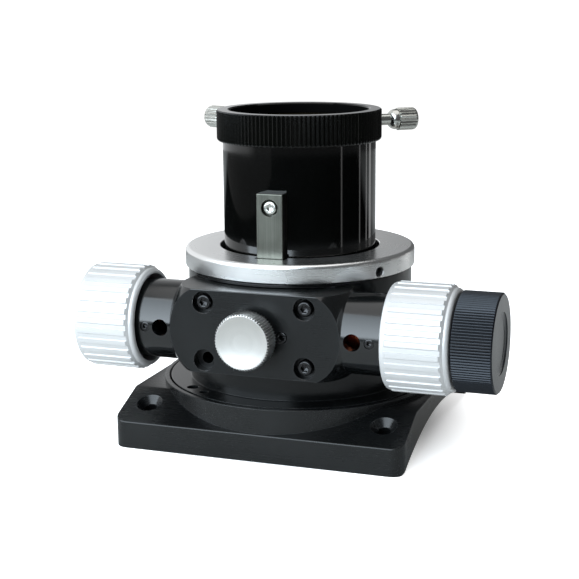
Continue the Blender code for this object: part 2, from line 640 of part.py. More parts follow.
def build_fine_drive(parts):
    """The fine shaft inside the hollow drive shaft, and its knob."""
    axis = make_empty("fine_axis", (0, SHAFT_Y, SHAFT_Z), ALONG_X)
    shaft_end = FINE_HIGH_X - 4.5 * MM
    place("fine_shaft", rod(FINE_SHAFT_R, 40.4 * MM, shaft_end - GAP), parts["steel"],
          parent=axis)
    edge, dish_r, dish_z = 0.6 * MM, 12 * MM, FINE_HIGH_X - 1.2 * MM
    profile = [(0, dish_z), (dish_r, dish_z), (dish_r + 0.3 * MM, FINE_HIGH_X),
               (FINE_KNOB_R - edge, FINE_HIGH_X), (FINE_KNOB_R, FINE_HIGH_X - edge),
               (FINE_KNOB_R, FINE_LOW_X + edge), (FINE_KNOB_R - edge, FINE_LOW_X),
               (1.7 * MM, FINE_LOW_X), (1.7 * MM, shaft_end), (0, shaft_end)]
    knob = place("fine_knob", turned(profile, KNOB_ROUND), parts["black"], parent=axis)
    grub_x, grub_length = 74 * MM, 4.5 * MM
    hole = moved(rod(1.35 * MM, 1 * MM, 22 * MM), (grub_x, SHAFT_Y, SHAFT_Z), POINT_BACK)
    combine(knob, "DIFFERENCE", hole)
    place("fine_grub", set_screw(1.2 * MM, grub_length, 1.3 * MM), parts["screw"],
          at=(0, FINE_SHAFT_R + GAP + grub_length, grub_x), turn=ALONG_BACK, parent=axis)


def build_bushes(bronze, steel):
    """Fixed rings in the tube ends: a plain bush on the left, the reducer race on the right."""
    outer = TUBE_BORE_R - 0.2 * MM
    rings = (("shaft_bush", bronze, SHAFT_R + 0.1 * MM, -45 * MM, -38.5 * MM),
             ("reducer_race", steel, BALL_CIRCLE_R + BALL_R + 0.1 * MM, 38.6 * MM, 45.2 * MM))
    for name, material, inner, low, high in rings:
        ring = [(inner, high), (outer, high), (outer, low), (inner, low)]
        place(name, turned(ring, MEDIUM_ROUND), material, at=(0, SHAFT_Y, SHAFT_Z), turn=ALONG_X)


# ---------------------------------------------------------------- drawtube

def build_drawtube(parts):
    """Sliding tube with its steel rail and the eyepiece clamp on top."""
    slide = make_empty("drawtube_axis", (0, 0, 0))
    tube_profile = [(DRAWTUBE_BORE_R, DRAWTUBE_HIGH), (DRAWTUBE_R, DRAWTUBE_HIGH),
                    (DRAWTUBE_R, DRAWTUBE_LOW), (DRAWTUBE_BORE_R, DRAWTUBE_LOW)]
    tube = place("drawtube", turned(tube_profile, LARGE_ROUND), parts["gloss"], parent=slide)

    rail = place("drive_rail", block((-RAIL_HALF_X, RAIL_FRONT_Y, RAIL_LOW_Z),
                                     (RAIL_HALF_X, -25 * MM, RAIL_TOP_Z)), parts["rail"],
                 parent=slide)
    combine(rail, "DIFFERENCE", rod(DRAWTUBE_R + 0.15 * MM, 0, COLLAR_TOP_Z,
                                     2 * LARGE_ROUND))
    heights = (RAIL_TOP_Z - RAIL_SCREW_INSET, RAIL_LOW_Z + RAIL_SCREW_INSET)
    hole_r, counterbore_r = RAIL_SCREW_R + 0.2 * MM, RAIL_HEAD_R + 0.4 * MM
    for k, height in enumerate(heights, 1):
        step = [(0, -20 * MM), (hole_r, -20 * MM), (hole_r, RAIL_SEAT_Y),
                (counterbore_r, RAIL_SEAT_Y), (counterbore_r, -40 * MM), (0, -40 * MM)]
        combine(rail, "DIFFERENCE", moved(turned(step, SMALL_ROUND), (0, 0, height), POINT_BACK))
        combine(tube, "DIFFERENCE", moved(rod(hole_r, -31 * MM, -22 * MM),
                                          (0, 0, height), POINT_BACK))
        screw = cap_screw(RAIL_HEAD_R, 2.0 * MM, RAIL_SCREW_R, 3.0 * MM, 2.0 * MM)
        place(f"rail_screw_{k}", screw, parts["steel"], at=(0, RAIL_SEAT_Y - GAP, height),
              turn=(pi / 2, 0, 0), parent=slide)

    edge = 1.2 * MM
    step_z = DRAWTUBE_HIGH + GAP
    seat_r = DRAWTUBE_R + 0.2 * MM
    groove_r, groove_low, groove_high = CLAMP_GROOVE_R, CLAMP_GROOVE_LOW_Z, CLAMP_GROOVE_HIGH_Z
    profile = [(EYEPIECE_BORE_R + 0.4 * MM, COLLAR_TOP_Z), (COLLAR_R - 0.4 * MM, COLLAR_TOP_Z),
               (COLLAR_R, COLLAR_TOP_Z - 0.4 * MM), (COLLAR_R, COLLAR_LOW_Z + edge),
               (COLLAR_R - edge, COLLAR_LOW_Z), (seat_r, COLLAR_LOW_Z), (seat_r, step_z),
               (EYEPIECE_BORE_R, step_z), (EYEPIECE_BORE_R, groove_low),
               (groove_r, groove_low), (groove_r, groove_high), (EYEPIECE_BORE_R, groove_high),
               (EYEPIECE_BORE_R, COLLAR_TOP_Z - 0.4 * MM)]
    collar = place("clamp_collar", turned(profile, LARGE_ROUND), parts["gloss"], parent=slide)
    holes = [moved(rod(CLAMP_SHANK_R + 0.15 * MM, 26 * MM, 35 * MM), (0, 0, CLAMP_Z),
                   facing(angle)) for angle in CLAMP_ANGLES.values()]
    combine(collar, "DIFFERENCE", join(holes))
    build_clamp_ring(parts["brass"], slide)

    for name, angle in CLAMP_ANGLES.items():
        axis = make_empty(name + "_axis", around(angle, COLLAR_R, CLAMP_Z), (0, pi / 2, angle),
                          slide)
        profile = [(radius * MM, out * MM) for radius, out in CLAMP_SCREW_PROFILE_MM]
        place(name, turned(profile, MEDIUM_ROUND), parts["silver"], parent=axis)


def build_clamp_ring(material, parent):
    """Split brass ring that the clamp screws close on the eyepiece."""
    inner, outer = EYEPIECE_BORE_R + 0.1 * MM, CLAMP_GROOVE_R - GAP
    half_split = radians(4)
    outline = arc((0, 0), outer, half_split - pi / 2, 1.5 * pi - half_split, 40)
    outline += arc((0, 0), inner, 1.5 * pi - half_split, half_split - pi / 2, 40)
    height = (CLAMP_GROOVE_LOW_Z + GAP, CLAMP_GROOVE_HIGH_Z - GAP)
    place("clamp_ring", prism(outline, *height), material, parent=parent)


# ---------------------------------------------------------------- assembly

def build_focuser():
    black = make_material("satin_black", (0.028, 0.030, 0.031), 0.42, 0.6)
    base_black = make_material("base_black", (0.022, 0.022, 0.023), 0.35, 0.6)
    gloss = make_material("gloss_black", (0.012, 0.012, 0.012), 0.16, 0.6)
    silver = make_material("satin_silver", (0.84, 0.85, 0.86), 0.34, 1.0)
    screw = make_material("black_steel", (0.05, 0.05, 0.05), 0.35, 0.9)
    steel = make_material("ground_steel", (0.60, 0.60, 0.58), 0.25, 1.0)
    rail = make_material("rail_steel", (0.42, 0.43, 0.40), 0.38, 1.0)
    bronze = make_material("bronze", (0.72, 0.36, 0.22), 0.35, 1.0)
    brass = make_material("brass", (0.80, 0.62, 0.30), 0.30, 1.0)
    nylon = make_material("nylon", (0.85, 0.84, 0.80), 0.50, 0.0)
    parts = {"steel": steel, "bronze": bronze, "silver": silver, "screw": screw,
             "black": black, "gloss": gloss, "rail": rail, "brass": brass}

    build_base(base_black)
    build_tilt_screws(screw)
    build_body(black)
    build_top_ring(silver, screw)
    build_bearings(steel, steel)
    build_housing(black)
    build_housing_screws(screw)
    build_lock(silver, nylon)
    build_bushes(bronze, steel)
    build_drive(parts)
    build_fine_drive(parts)
    build_drawtube(parts)


clear_scene()
build_focuser()
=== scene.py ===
"""Looks for a two-inch dual-speed Crayford focuser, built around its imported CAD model.

Frame: +Z is the optical axis, +X runs along the drive shaft, -Y is the face plate side.
Sizes are in metres. Places come from the CAD nodes; each finer piece stands for one node.
"""
import json
from math import asin, atan2, cos, inf, pi, radians, sin, sqrt, tan

import bmesh
import bpy
from mathutils import Matrix, Vector


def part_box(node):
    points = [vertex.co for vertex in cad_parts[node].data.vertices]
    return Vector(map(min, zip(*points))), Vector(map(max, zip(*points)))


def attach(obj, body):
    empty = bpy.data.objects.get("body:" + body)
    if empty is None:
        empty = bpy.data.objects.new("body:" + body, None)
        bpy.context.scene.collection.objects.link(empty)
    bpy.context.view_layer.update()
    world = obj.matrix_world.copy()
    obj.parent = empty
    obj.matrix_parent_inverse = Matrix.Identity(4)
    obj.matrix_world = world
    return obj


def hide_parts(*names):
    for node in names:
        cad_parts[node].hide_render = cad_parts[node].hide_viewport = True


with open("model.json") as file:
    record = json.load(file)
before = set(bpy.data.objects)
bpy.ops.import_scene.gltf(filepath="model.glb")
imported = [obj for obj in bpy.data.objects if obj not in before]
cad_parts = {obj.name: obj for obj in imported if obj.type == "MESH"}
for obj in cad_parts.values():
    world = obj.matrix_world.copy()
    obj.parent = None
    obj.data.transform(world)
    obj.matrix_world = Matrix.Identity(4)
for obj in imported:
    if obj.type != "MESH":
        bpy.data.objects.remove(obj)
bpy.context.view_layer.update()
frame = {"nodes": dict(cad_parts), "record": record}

BODY_OF = {node: body
           for body, nodes in frame["record"]["behaviour"]["bodies"].items()
           for node in nodes}

MM = 0.001
COLLAR_RIDGES = 118
FINE_RIDGES = 110
LOCK_RIDGES = 60
THUMB_RIDGES = 20
LARGE_ROUND = 180
MEDIUM_ROUND = 96
SMALL_ROUND = 48
SMOOTH_ANGLE = radians(32)


# ---------------------------------------------------------------- places from the frame

def size(node):
    low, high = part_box(node)
    return high - low


def centre(node):
    low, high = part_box(node)
    return (low + high) / 2


TUBE_R = size("drawtube").x / 2
TUBE_LOW_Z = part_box("drawtube")[0].z
TUBE_TOP_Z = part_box("drawtube")[1].z
COLLAR_R = size("clamp_collar").x / 2
COLLAR_LOW_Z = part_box("clamp_collar")[0].z
COLLAR_TOP_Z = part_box("clamp_collar")[1].z
RING_R = size("top_ring").x / 2
RING_LOW_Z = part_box("top_ring")[0].z
RING_TOP_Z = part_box("top_ring")[1].z
FLANGE_R = size("focuser_body").x / 2
FLANGE_LOW_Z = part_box("focuser_body")[0].z
SPIGOT_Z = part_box("focuser_body")[1].z
SHAFT_Y = centre("drive_shaft").y
SHAFT_Z = centre("drive_shaft").z
FACE_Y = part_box("pinion_housing")[0].y
HOUSING_HALF_Z = size("pinion_housing").z / 2
HOUSING_END_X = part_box("pinion_housing")[1].x
BASE_HALF_X = size("base_plate").x / 2
BASE_HALF_Y = size("base_plate").y / 2
BASE_LOW_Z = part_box("base_plate")[0].z
BOSS_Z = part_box("base_plate")[1].z
RAIL_HALF_X = size("drive_rail").x / 2
RAIL_FRONT_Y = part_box("drive_rail")[0].y
RAIL_LOW_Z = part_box("drive_rail")[0].z
RAIL_TOP_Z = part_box("drive_rail")[1].z

# Sizes that no box gives
EYEPIECE_BORE_R = 25.6 * MM
TUBE_BORE_R = 25.9 * MM
BODY_BORE_R = 29.6 * MM
BARREL_R = 41.4 * MM
BARREL_TOP_Z = 61.1 * MM
FLANGE_TOP_Z = 19.4 * MM
SPIGOT_R = 34.7 * MM
SLOT_HALF_X = 5.5 * MM
GAP = 0.3 * MM

# ---------------------------------------------------------------- mesh tools

def arc(center, radius, start, end, steps):
    """Points on an arc, both ends included."""
    return [(center[0] + radius * cos(start + (end - start) * k / steps),
             center[1] + radius * sin(start + (end - start) * k / steps))
            for k in range(steps + 1)]


def soften(profile, radius, steps=3, ring=True):
    """Round the corners of a (radius, height) profile. A ring closes on itself."""
    result = []
    count = len(profile)
    for k, point in enumerate(profile):
        here = Vector(point)
        before = Vector(profile[k - 1])
        after = Vector(profile[(k + 1) % count])
        end_point = not ring and k in (0, count - 1)
        if end_point or (before - here).length == 0 or (after - here).length == 0:
            result.append(point)
            continue
        bend = pi - (before - here).angle(after - here)
        if bend < radians(24):
            result.append(point)
            continue
        reach = radius * tan(bend / 2)
        back = min(reach, 0.45 * (before - here).length)
        ahead = min(reach, 0.45 * (after - here).length)
        start = here + (before - here).normalized() * back
        end = here + (after - here).normalized() * ahead
        for step in range(steps + 1):
            t = step / steps
            spot = start * (1 - t) ** 2 + here * 2 * t * (1 - t) + end * t ** 2
            result.append((spot.x, spot.y))
    return result


def round_spokes(count):
    return [(2 * pi * k / count, inf) for k in range(count)]


def toothed_spokes(count, outer, depth, tooth):
    """Spokes for a knurl or flutes: each carries the radius that the cutter leaves there.

    tooth lists (place across the tooth from -0.5 to 0.5, share of the depth cut there).
    """
    return [(2 * pi * (k + across) / count, outer - depth * cut)
            for k in range(count) for across, cut in tooth]


# Teeth of a knurl or flute: (place across the tooth, share of the depth cut there)
RIDGE = [(k / 8 - 0.5, sin(pi * (k / 8 - 0.5)) ** 2) for k in range(8)]
CREST = [(k / 8 - 0.5, abs(sin(pi * (k / 8 - 0.5)))) for k in range(8)]
FLUTE = [(-0.50, 1.0), (-0.40, 1.0), (-0.30, 1.0), (-0.285, 0.92), (-0.235, 0.08),
         (-0.22, 0.0), (-0.11, 0.0), (0.0, 0.0), (0.11, 0.0), (0.22, 0.0),
         (0.235, 0.08), (0.285, 0.92), (0.30, 1.0), (0.40, 1.0)]


def lathe(profile, spokes):
    """Turn a profile about Z. It closes on itself, unless it starts and ends on the axis.

    A radius given as ("hex", apothem) makes a hexagon.
    """
    shape = bmesh.new()
    rings = []
    for radius, height in profile:
        if radius == 0:
            rings.append([shape.verts.new((0, 0, height))])
            continue
        ring = []
        for angle, limit in spokes:
            reach = radius
            if isinstance(radius, tuple):
                reach = radius[1] / cos(angle % (pi / 3) - pi / 6)
            reach = min(reach, limit)
            ring.append(shape.verts.new((reach * cos(angle), reach * sin(angle), height)))
        rings.append(ring)
    if len(rings[0]) > 1:
        rings.append(rings[0])
    count = len(spokes)
    for upper, lower in zip(rings, rings[1:]):
        for k in range(count):
            corners = [upper[k % len(upper)], upper[(k + 1) % len(upper)],
                       lower[(k + 1) % len(lower)], lower[k % len(lower)]]
            shape.faces.new(list(dict.fromkeys(corners)))
    bmesh.ops.remove_doubles(shape, verts=shape.verts, dist=1e-7)
    return shape


def turned(profile, count=MEDIUM_ROUND, edge=0.0, ring=None):
    """A plain lathe shape with its corners rounded by the edge radius."""
    if ring is None:
        ring = profile[0][0] != 0
    if edge:
        profile = soften(profile, edge, ring=ring)
    return lathe(profile, round_spokes(count))


def rod(radius, low, high, count=SMALL_ROUND):
    return turned([(0, high), (radius, high), (radius, low), (0, low)], count)


def block(low, high, edge=0.0):
    """A box between two corners, its edges rounded."""
    shape = bmesh.new()
    bmesh.ops.create_cube(shape, size=1)
    span = Vector(high) - Vector(low)
    middle = (Vector(high) + Vector(low)) / 2
    bmesh.ops.transform(shape, matrix=Matrix.Translation(middle) @ Matrix.Diagonal((*span, 1)),
                        verts=shape.verts)
    if edge:
        bmesh.ops.bevel(shape, geom=shape.edges[:], offset=edge, segments=3, profile=0.5,
                        affect="EDGES")
    return shape


def prism(outline, low, high):
    """Extrude a closed outline of (x, y) points."""
    shape = bmesh.new()
    face = shape.faces.new([shape.verts.new((x, y, low)) for x, y in outline])
    grown = bmesh.ops.extrude_face_region(shape, geom=[face])
    risen = [part for part in grown["geom"] if isinstance(part, bmesh.types.BMVert)]
    bmesh.ops.translate(shape, vec=(0, 0, high - low), verts=risen)
    return shape


def moved(shape, matrix):
    bmesh.ops.transform(shape, matrix=matrix, verts=shape.verts)
    return shape


def to_object(name, shape):
    mesh = bpy.data.meshes.new(name)
    bmesh.ops.recalc_face_normals(shape, faces=shape.faces)
    shape.to_mesh(mesh)
    shape.free()
    item = bpy.data.objects.new(name, mesh)
    bpy.context.scene.collection.objects.link(item)
    return item


def carve(item, operation, shapes, matrix=None):
    """Boolean the shapes into the item and keep the result as its mesh."""
    for shape in shapes:
        tool = to_object("tool", shape)
        if matrix is not None:
            tool.data.transform(matrix)
        modifier = item.modifiers.new("carve", "BOOLEAN")
        modifier.operation = operation
        modifier.solver = "EXACT"
        modifier.object = tool
        bpy.context.view_layer.update()
        evaluated = item.evaluated_get(bpy.context.evaluated_depsgraph_get())
        result = bpy.data.meshes.new_from_object(evaluated)
        item.modifiers.clear()
        old = item.data
        item.data = result
        bpy.data.meshes.remove(old)
        tool_mesh = tool.data
        bpy.data.objects.remove(tool)
        bpy.data.meshes.remove(tool_mesh)
    return item


def cut(item, shapes, matrix=None):
    return carve(item, "DIFFERENCE", shapes, matrix)


def shift(x, y, z):
    return Matrix.Translation((x, y, z))


def facing(angle):
    """Turns +Z to point away from the optical axis at an angle."""
    return Matrix.Rotation(angle, 4, "Z") @ Matrix.Rotation(pi / 2, 4, "Y")


def radial_frame(middle):
    """Local +Z points away from the optical axis, through the point."""
    return shift(0, 0, middle.z) @ facing(atan2(middle.y, middle.x))


def axle_frame(x):
    """Local +Z runs along the drive shaft to +X, from x."""
    return shift(x, SHAFT_Y, SHAFT_Z) @ Matrix.Rotation(pi / 2, 4, "Y")


def front_frame(x, z):
    """Local +Z points out of the face plate, to -Y, from the point (x, 0, z)."""
    return shift(x, 0, z) @ Matrix.Rotation(pi / 2, 4, "X")


def finish_piece(item, node, materials, at=None, second=None):
    """Give a piece its finish and let it stand for a CAD node, riding on the same body.

    The second finish goes to the faces whose (middle, normal) passes the test.
    """
    mesh = item.data
    mesh.name = item.name
    mesh.materials.clear()
    for material in materials:
        mesh.materials.append(material)
    for face in mesh.polygons:
        face.material_index = int(second is not None and second(face.center, face.normal))
    mesh.shade_smooth()
    mesh.set_sharp_from_angle(angle=SMOOTH_ANGLE)
    weights = item.modifiers.new("weighted normals", "WEIGHTED_NORMAL")
    weights.keep_sharp = True
    if at is not None:
        item.matrix_world = at
    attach(item, BODY_OF[node])
    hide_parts(node)
    return item


# ---------------------------------------------------------------- finishes

class Graph:
    """Short names for the nodes that the finishes share."""

    def __init__(self, name, slot):
        self.material = bpy.data.materials.new(name)
        self.material.use_nodes = True
        self.material["slot"] = slot
        self.tree = self.material.node_tree
        self.shader = self.tree.nodes["Principled BSDF"]

    def node(self, kind, inputs=None, **settings):
        node = self.tree.nodes.new(kind)
        for key, value in settings.items():
            setattr(node, key, value)
        for key, value in (inputs or {}).items():
            if isinstance(value, bpy.types.NodeSocket):
                self.tree.links.new(value, node.inputs[key])
            else:
                node.inputs[key].default_value = value
        return node

    def feed(self, socket, value):
        self.tree.links.new(value, self.shader.inputs[socket])

    def position(self):
        return self.node("ShaderNodeTexCoord").outputs["Object"]

    def lathe_position(self):
        """(distance from local Z, 0, height), so that noise makes turning marks."""
        parts = self.node("ShaderNodeSeparateXYZ", {0: self.position()})
        flat = self.node("ShaderNodeCombineXYZ", {0: parts.outputs[0], 1: parts.outputs[1]})
        reach = self.node("ShaderNodeVectorMath", {0: flat.outputs[0]}, operation="LENGTH")
        return self.node("ShaderNodeCombineXYZ", {0: reach.outputs["Value"],
                                                  2: parts.outputs[2]}).outputs[0]

    def noise(self, vector, scale, detail=3.0, roughness=0.55, stretch=(1, 1, 1)):
        placed = self.node("ShaderNodeMapping", {"Vector": vector, "Scale": stretch})
        return self.node("ShaderNodeTexNoise", {"Vector": placed.outputs[0], "Scale": scale,
                                                "Detail": detail,
                                                "Roughness": roughness}).outputs["Fac"]

    def spread(self, value, low, high, low_in=0.3, high_in=0.7):
        """Stretch a noise value to run from low to high."""
        return self.node("ShaderNodeMapRange", {"Value": value, "From Min": low_in,
                                                "From Max": high_in, "To Min": low,
                                                "To Max": high}).outputs["Result"]

    def mix(self, factor, first, second):
        node = self.tree.nodes.new("ShaderNodeMix")
        node.data_type = "RGBA"
        for socket, value in ((node.inputs[0], factor), (node.inputs[6], first),
                              (node.inputs[7], second)):
            if isinstance(value, bpy.types.NodeSocket):
                self.tree.links.new(value, socket)
            elif isinstance(value, tuple):
                socket.default_value = (*value, 1)
            else:
                socket.default_value = value
        return node.outputs[2]

    def add(self, first, second, weight):
        """first + second * weight"""
        return self.node("ShaderNodeMath", {0: second, 1: weight, 2: first},
                         operation="MULTIPLY_ADD").outputs[0]

    def edges(self, reach=0.4 * MM):
        """1 along sharp edges, 0 elsewhere."""
        rounded = self.node("ShaderNodeBevel", {"Radius": reach}, samples=4)
        normal = self.node("ShaderNodeNewGeometry").outputs["Normal"]
        match = self.node("ShaderNodeVectorMath", {0: rounded.outputs[0], 1: normal},
                          operation="DOT_PRODUCT").outputs["Value"]
        return self.spread(match, 1.0, 0.0, 0.88, 0.99)

    def bump(self, height, distance, strength=1.0):
        node = self.node("ShaderNodeBump", {"Height": height, "Distance": distance,
                                            "Strength": strength})
        self.feed("Normal", node.outputs[0])


def metal(name, slot, color, roughness, metallic, marks, marks_depth=0.01 * MM, grain=2600,
          contrast=0.18, edge_wear_and_shade=None, edge_wear_and_shade_amount=0.5, specular=0.5, tint=(1, 1, 1)):
    """A machined finish.

    marks is "turned" for lathe rings, "x", "y" or "z" for brushing along that axis, or
    "blast" for an even bead-blasted grain. tint colours what a non-metal reflects.
    """
    graph = Graph(name, slot)
    shader = graph.shader
    shader.inputs["Metallic"].default_value = metallic
    shader.inputs["Specular IOR Level"].default_value = specular
    shader.inputs["Specular Tint"].default_value = (*tint, 1)
    stretch = {"x": (0.015, 1, 1), "y": (1, 0.015, 1), "z": (1, 1, 0.015)}.get(marks, (1, 1, 1))
    place = graph.lathe_position() if marks == "turned" else graph.position()
    lines = graph.noise(place, grain, detail=4, stretch=stretch)
    specks = graph.noise(graph.position(), 5200, detail=2)
    clouds = graph.noise(graph.position(), 55, detail=3)
    darker = tuple(channel * (1 - contrast) for channel in color)
    lighter = tuple(min(channel * (1 + contrast), 1.0) for channel in color)
    tone = graph.add(graph.spread(clouds, 0.0, 0.7), graph.spread(lines, -0.5, 0.5), 0.6)
    painted = graph.mix(tone, darker, lighter)
    # Along sharp edges the colour moves towards the given edge colour: lighter wear on the black parts
    # and the rail, and painted shade (darker grey) on the silver knobs
    if edge_wear_and_shade:
        edge_patches = graph.spread(graph.noise(graph.position(), 900, detail=4), 0.2, 1.0)
        worn_and_shaded_edges = graph.node("ShaderNodeMath", {0: graph.edges(), 1: edge_patches},
                          operation="MULTIPLY").outputs[0]
        amount = graph.node("ShaderNodeMath", {0: worn_and_shaded_edges, 1: edge_wear_and_shade_amount},
                            operation="MULTIPLY").outputs[0]
        painted = graph.mix(amount, painted, edge_wear_and_shade)
    graph.feed("Base Color", painted)
    rough = graph.spread(clouds, roughness * 0.88, roughness * 1.1)
    rough = graph.add(rough, graph.spread(lines, -0.5, 0.5), roughness * 0.14)
    graph.feed("Roughness", rough)
    height = graph.add(lines, specks, 0.5)
    graph.bump(height, marks_depth)
    return graph.material


def make_finishes():
    black = (0.0030, 0.0035, 0.0037)
    bare = (0.50, 0.51, 0.52)
    return {
        "housing": metal("anodised_housing", "body_black", black, 0.15, 0.0, "x",
            marks_depth=0.001 * MM, edge_wear_and_shade=bare, edge_wear_and_shade_amount=0.05, specular=0.6),
        "milled": metal("milled_black_flat", "body_black", black, 0.30, 0.0, "x",
            marks_depth=0.002 * MM, edge_wear_and_shade=bare, edge_wear_and_shade_amount=0.05, specular=0.32),
        "body": metal("anodised_body", "body_black", black, 0.20, 0.0, "turned",
            marks_depth=0.001 * MM, edge_wear_and_shade=bare, edge_wear_and_shade_amount=0.05, specular=0.3),
        "base": metal("anodised_base", "base_black", (0.0038, 0.0042, 0.0044), 0.28, 0.0, "x",
            marks_depth=0.003 * MM, edge_wear_and_shade=bare, edge_wear_and_shade_amount=0.06, specular=0.40),
        "gloss": metal("gloss_anodised", "gloss_black", (0.0010, 0.0011, 0.0010), 0.05, 0.0, "z",
            marks_depth=0.0006 * MM, contrast=0.3),
        "knurl": metal("knurled_black", "gloss_black", (0.0010, 0.0012, 0.0009), 0.11, 0.0,
            "turned", marks_depth=0.0006 * MM, specular=0.22),
        "inside": metal("flat_black_bore", "gloss_black", (0.0012, 0.0012, 0.0012), 0.8, 0.0,
            "turned", specular=0.03),
        "fine": metal("fine_knob_black", "body_black", (0.0022, 0.0027, 0.0042), 0.19, 0.0,
            "turned", marks_depth=0.002 * MM, edge_wear_and_shade=bare, edge_wear_and_shade_amount=0.01, specular=0.36,
            tint=(0.82, 0.90, 1.0)),
        # painted shade: the flute and chamfer edges of the silver knobs are painted darker grey
        "silver": metal("blasted_aluminium", "satin_silver", (0.55, 0.547, 0.54), 0.48, 0.4,
            "blast", marks_depth=0.003 * MM, contrast=0.03, edge_wear_and_shade=(0.30, 0.31, 0.32),
            edge_wear_and_shade_amount=0.4),
        "ring": metal("satin_ring", "satin_silver", (0.81, 0.812, 0.805), 0.29, 1.0, "turned",
            marks_depth=0.0002 * MM, contrast=0.02),
        # painted shade: the lock knob's turned front face gets a darker copy of the knob's silver (0.60
        # against 0.88 on the knurled side), because that face meets more light
        "face": metal("brushed_face_painted_darker", "brushed_silver", (0.60, 0.59, 0.565), 0.33, 1.0, "turned",
            marks_depth=0.0006 * MM, contrast=0.03),
        "knurled_silver": metal("knurled_silver", "brushed_silver", (0.88, 0.88, 0.87), 0.32, 1.0,
            "turned", marks_depth=0.003 * MM, contrast=0.08),
        "plated": metal("plated_steel", "brushed_silver", (0.56, 0.565, 0.53), 0.24, 1.0, "turned",
            marks_depth=0.001 * MM, contrast=0.08),
        "screw": metal("black_oxide_steel", "black_steel", (0.035, 0.035, 0.036), 0.22, 0.9,
            "turned", marks_depth=0.002 * MM, edge_wear_and_shade=bare, edge_wear_and_shade_amount=0.2),
        "steel": metal("ground_steel_finish", "ground_steel", (0.58, 0.58, 0.57), 0.20, 1.0,
            "turned", marks_depth=0.002 * MM),
        "rail": metal("brushed_rail", "rail_steel", (0.122, 0.125, 0.108), 0.30, 1.0, "z",
            marks_depth=0.006 * MM, grain=3200, contrast=0.22, edge_wear_and_shade=(0.75, 0.77, 0.76),
            edge_wear_and_shade_amount=0.12),
        # painted shade: the bronze is darkened to stand for the shade inside the port where the sleeve is
        # seen
        "bronze": metal("shade_darkened_bronze", "bronze", (0.42, 0.13, 0.06), 0.22, 1.0, "turned"),
        "brass": metal("dark_clamp_brass", "brass", (0.010, 0.008, 0.004), 0.7, 0.3, "turned",
            specular=0.05),
        "nylon": metal("pad_nylon", "nylon", (0.82, 0.81, 0.77), 0.45, 0.0, "blast", contrast=0.06),
    }


# ---------------------------------------------------------------- screws

def cap_screw_profile(head_r, head_height, shank_r, length, key):
    """Socket head cap screw seated at height 0, its shank running down."""
    socket_low = head_height * 0.4
    return [(0, socket_low - 0.25 * key), (("hex", key / 2), socket_low),
            (("hex", key / 2), head_height - 0.12 * MM),
            (key / 2 * 1.22, head_height), (head_r - 0.60 * MM, head_height),
            (head_r - 0.36 * MM, head_height - 0.12 * MM),
            (head_r - 0.12 * MM, head_height - 0.50 * MM), (head_r, head_height - 1.0 * MM),
            (head_r, 0.1 * MM), (head_r - 0.1 * MM, 0), (shank_r, 0), (shank_r, -length + 0.3 * MM),
            (shank_r - 0.3 * MM, -length), (0, -length)]


def set_screw_profile(radius, length, key):
    """Headless socket screw from height 0, its driving end, down to -length."""
    socket_low = -length * 0.5
    return [(0, socket_low - 0.2 * key), (("hex", key / 2), socket_low),
            (("hex", key / 2), -0.12 * MM), (key / 2 * 1.22, 0), (radius - 0.14 * MM, 0),
            (radius - 0.04 * MM, -0.05 * MM), (radius, -0.2 * MM), (radius, -length + 0.3 * MM),
            (radius - 0.35 * MM, -length), (0, -length)]


def place_screw(name, node, profile, at, material):
    item = to_object(name, lathe(profile, round_spokes(SMALL_ROUND)))
    return finish_piece(item, node, [material], at)


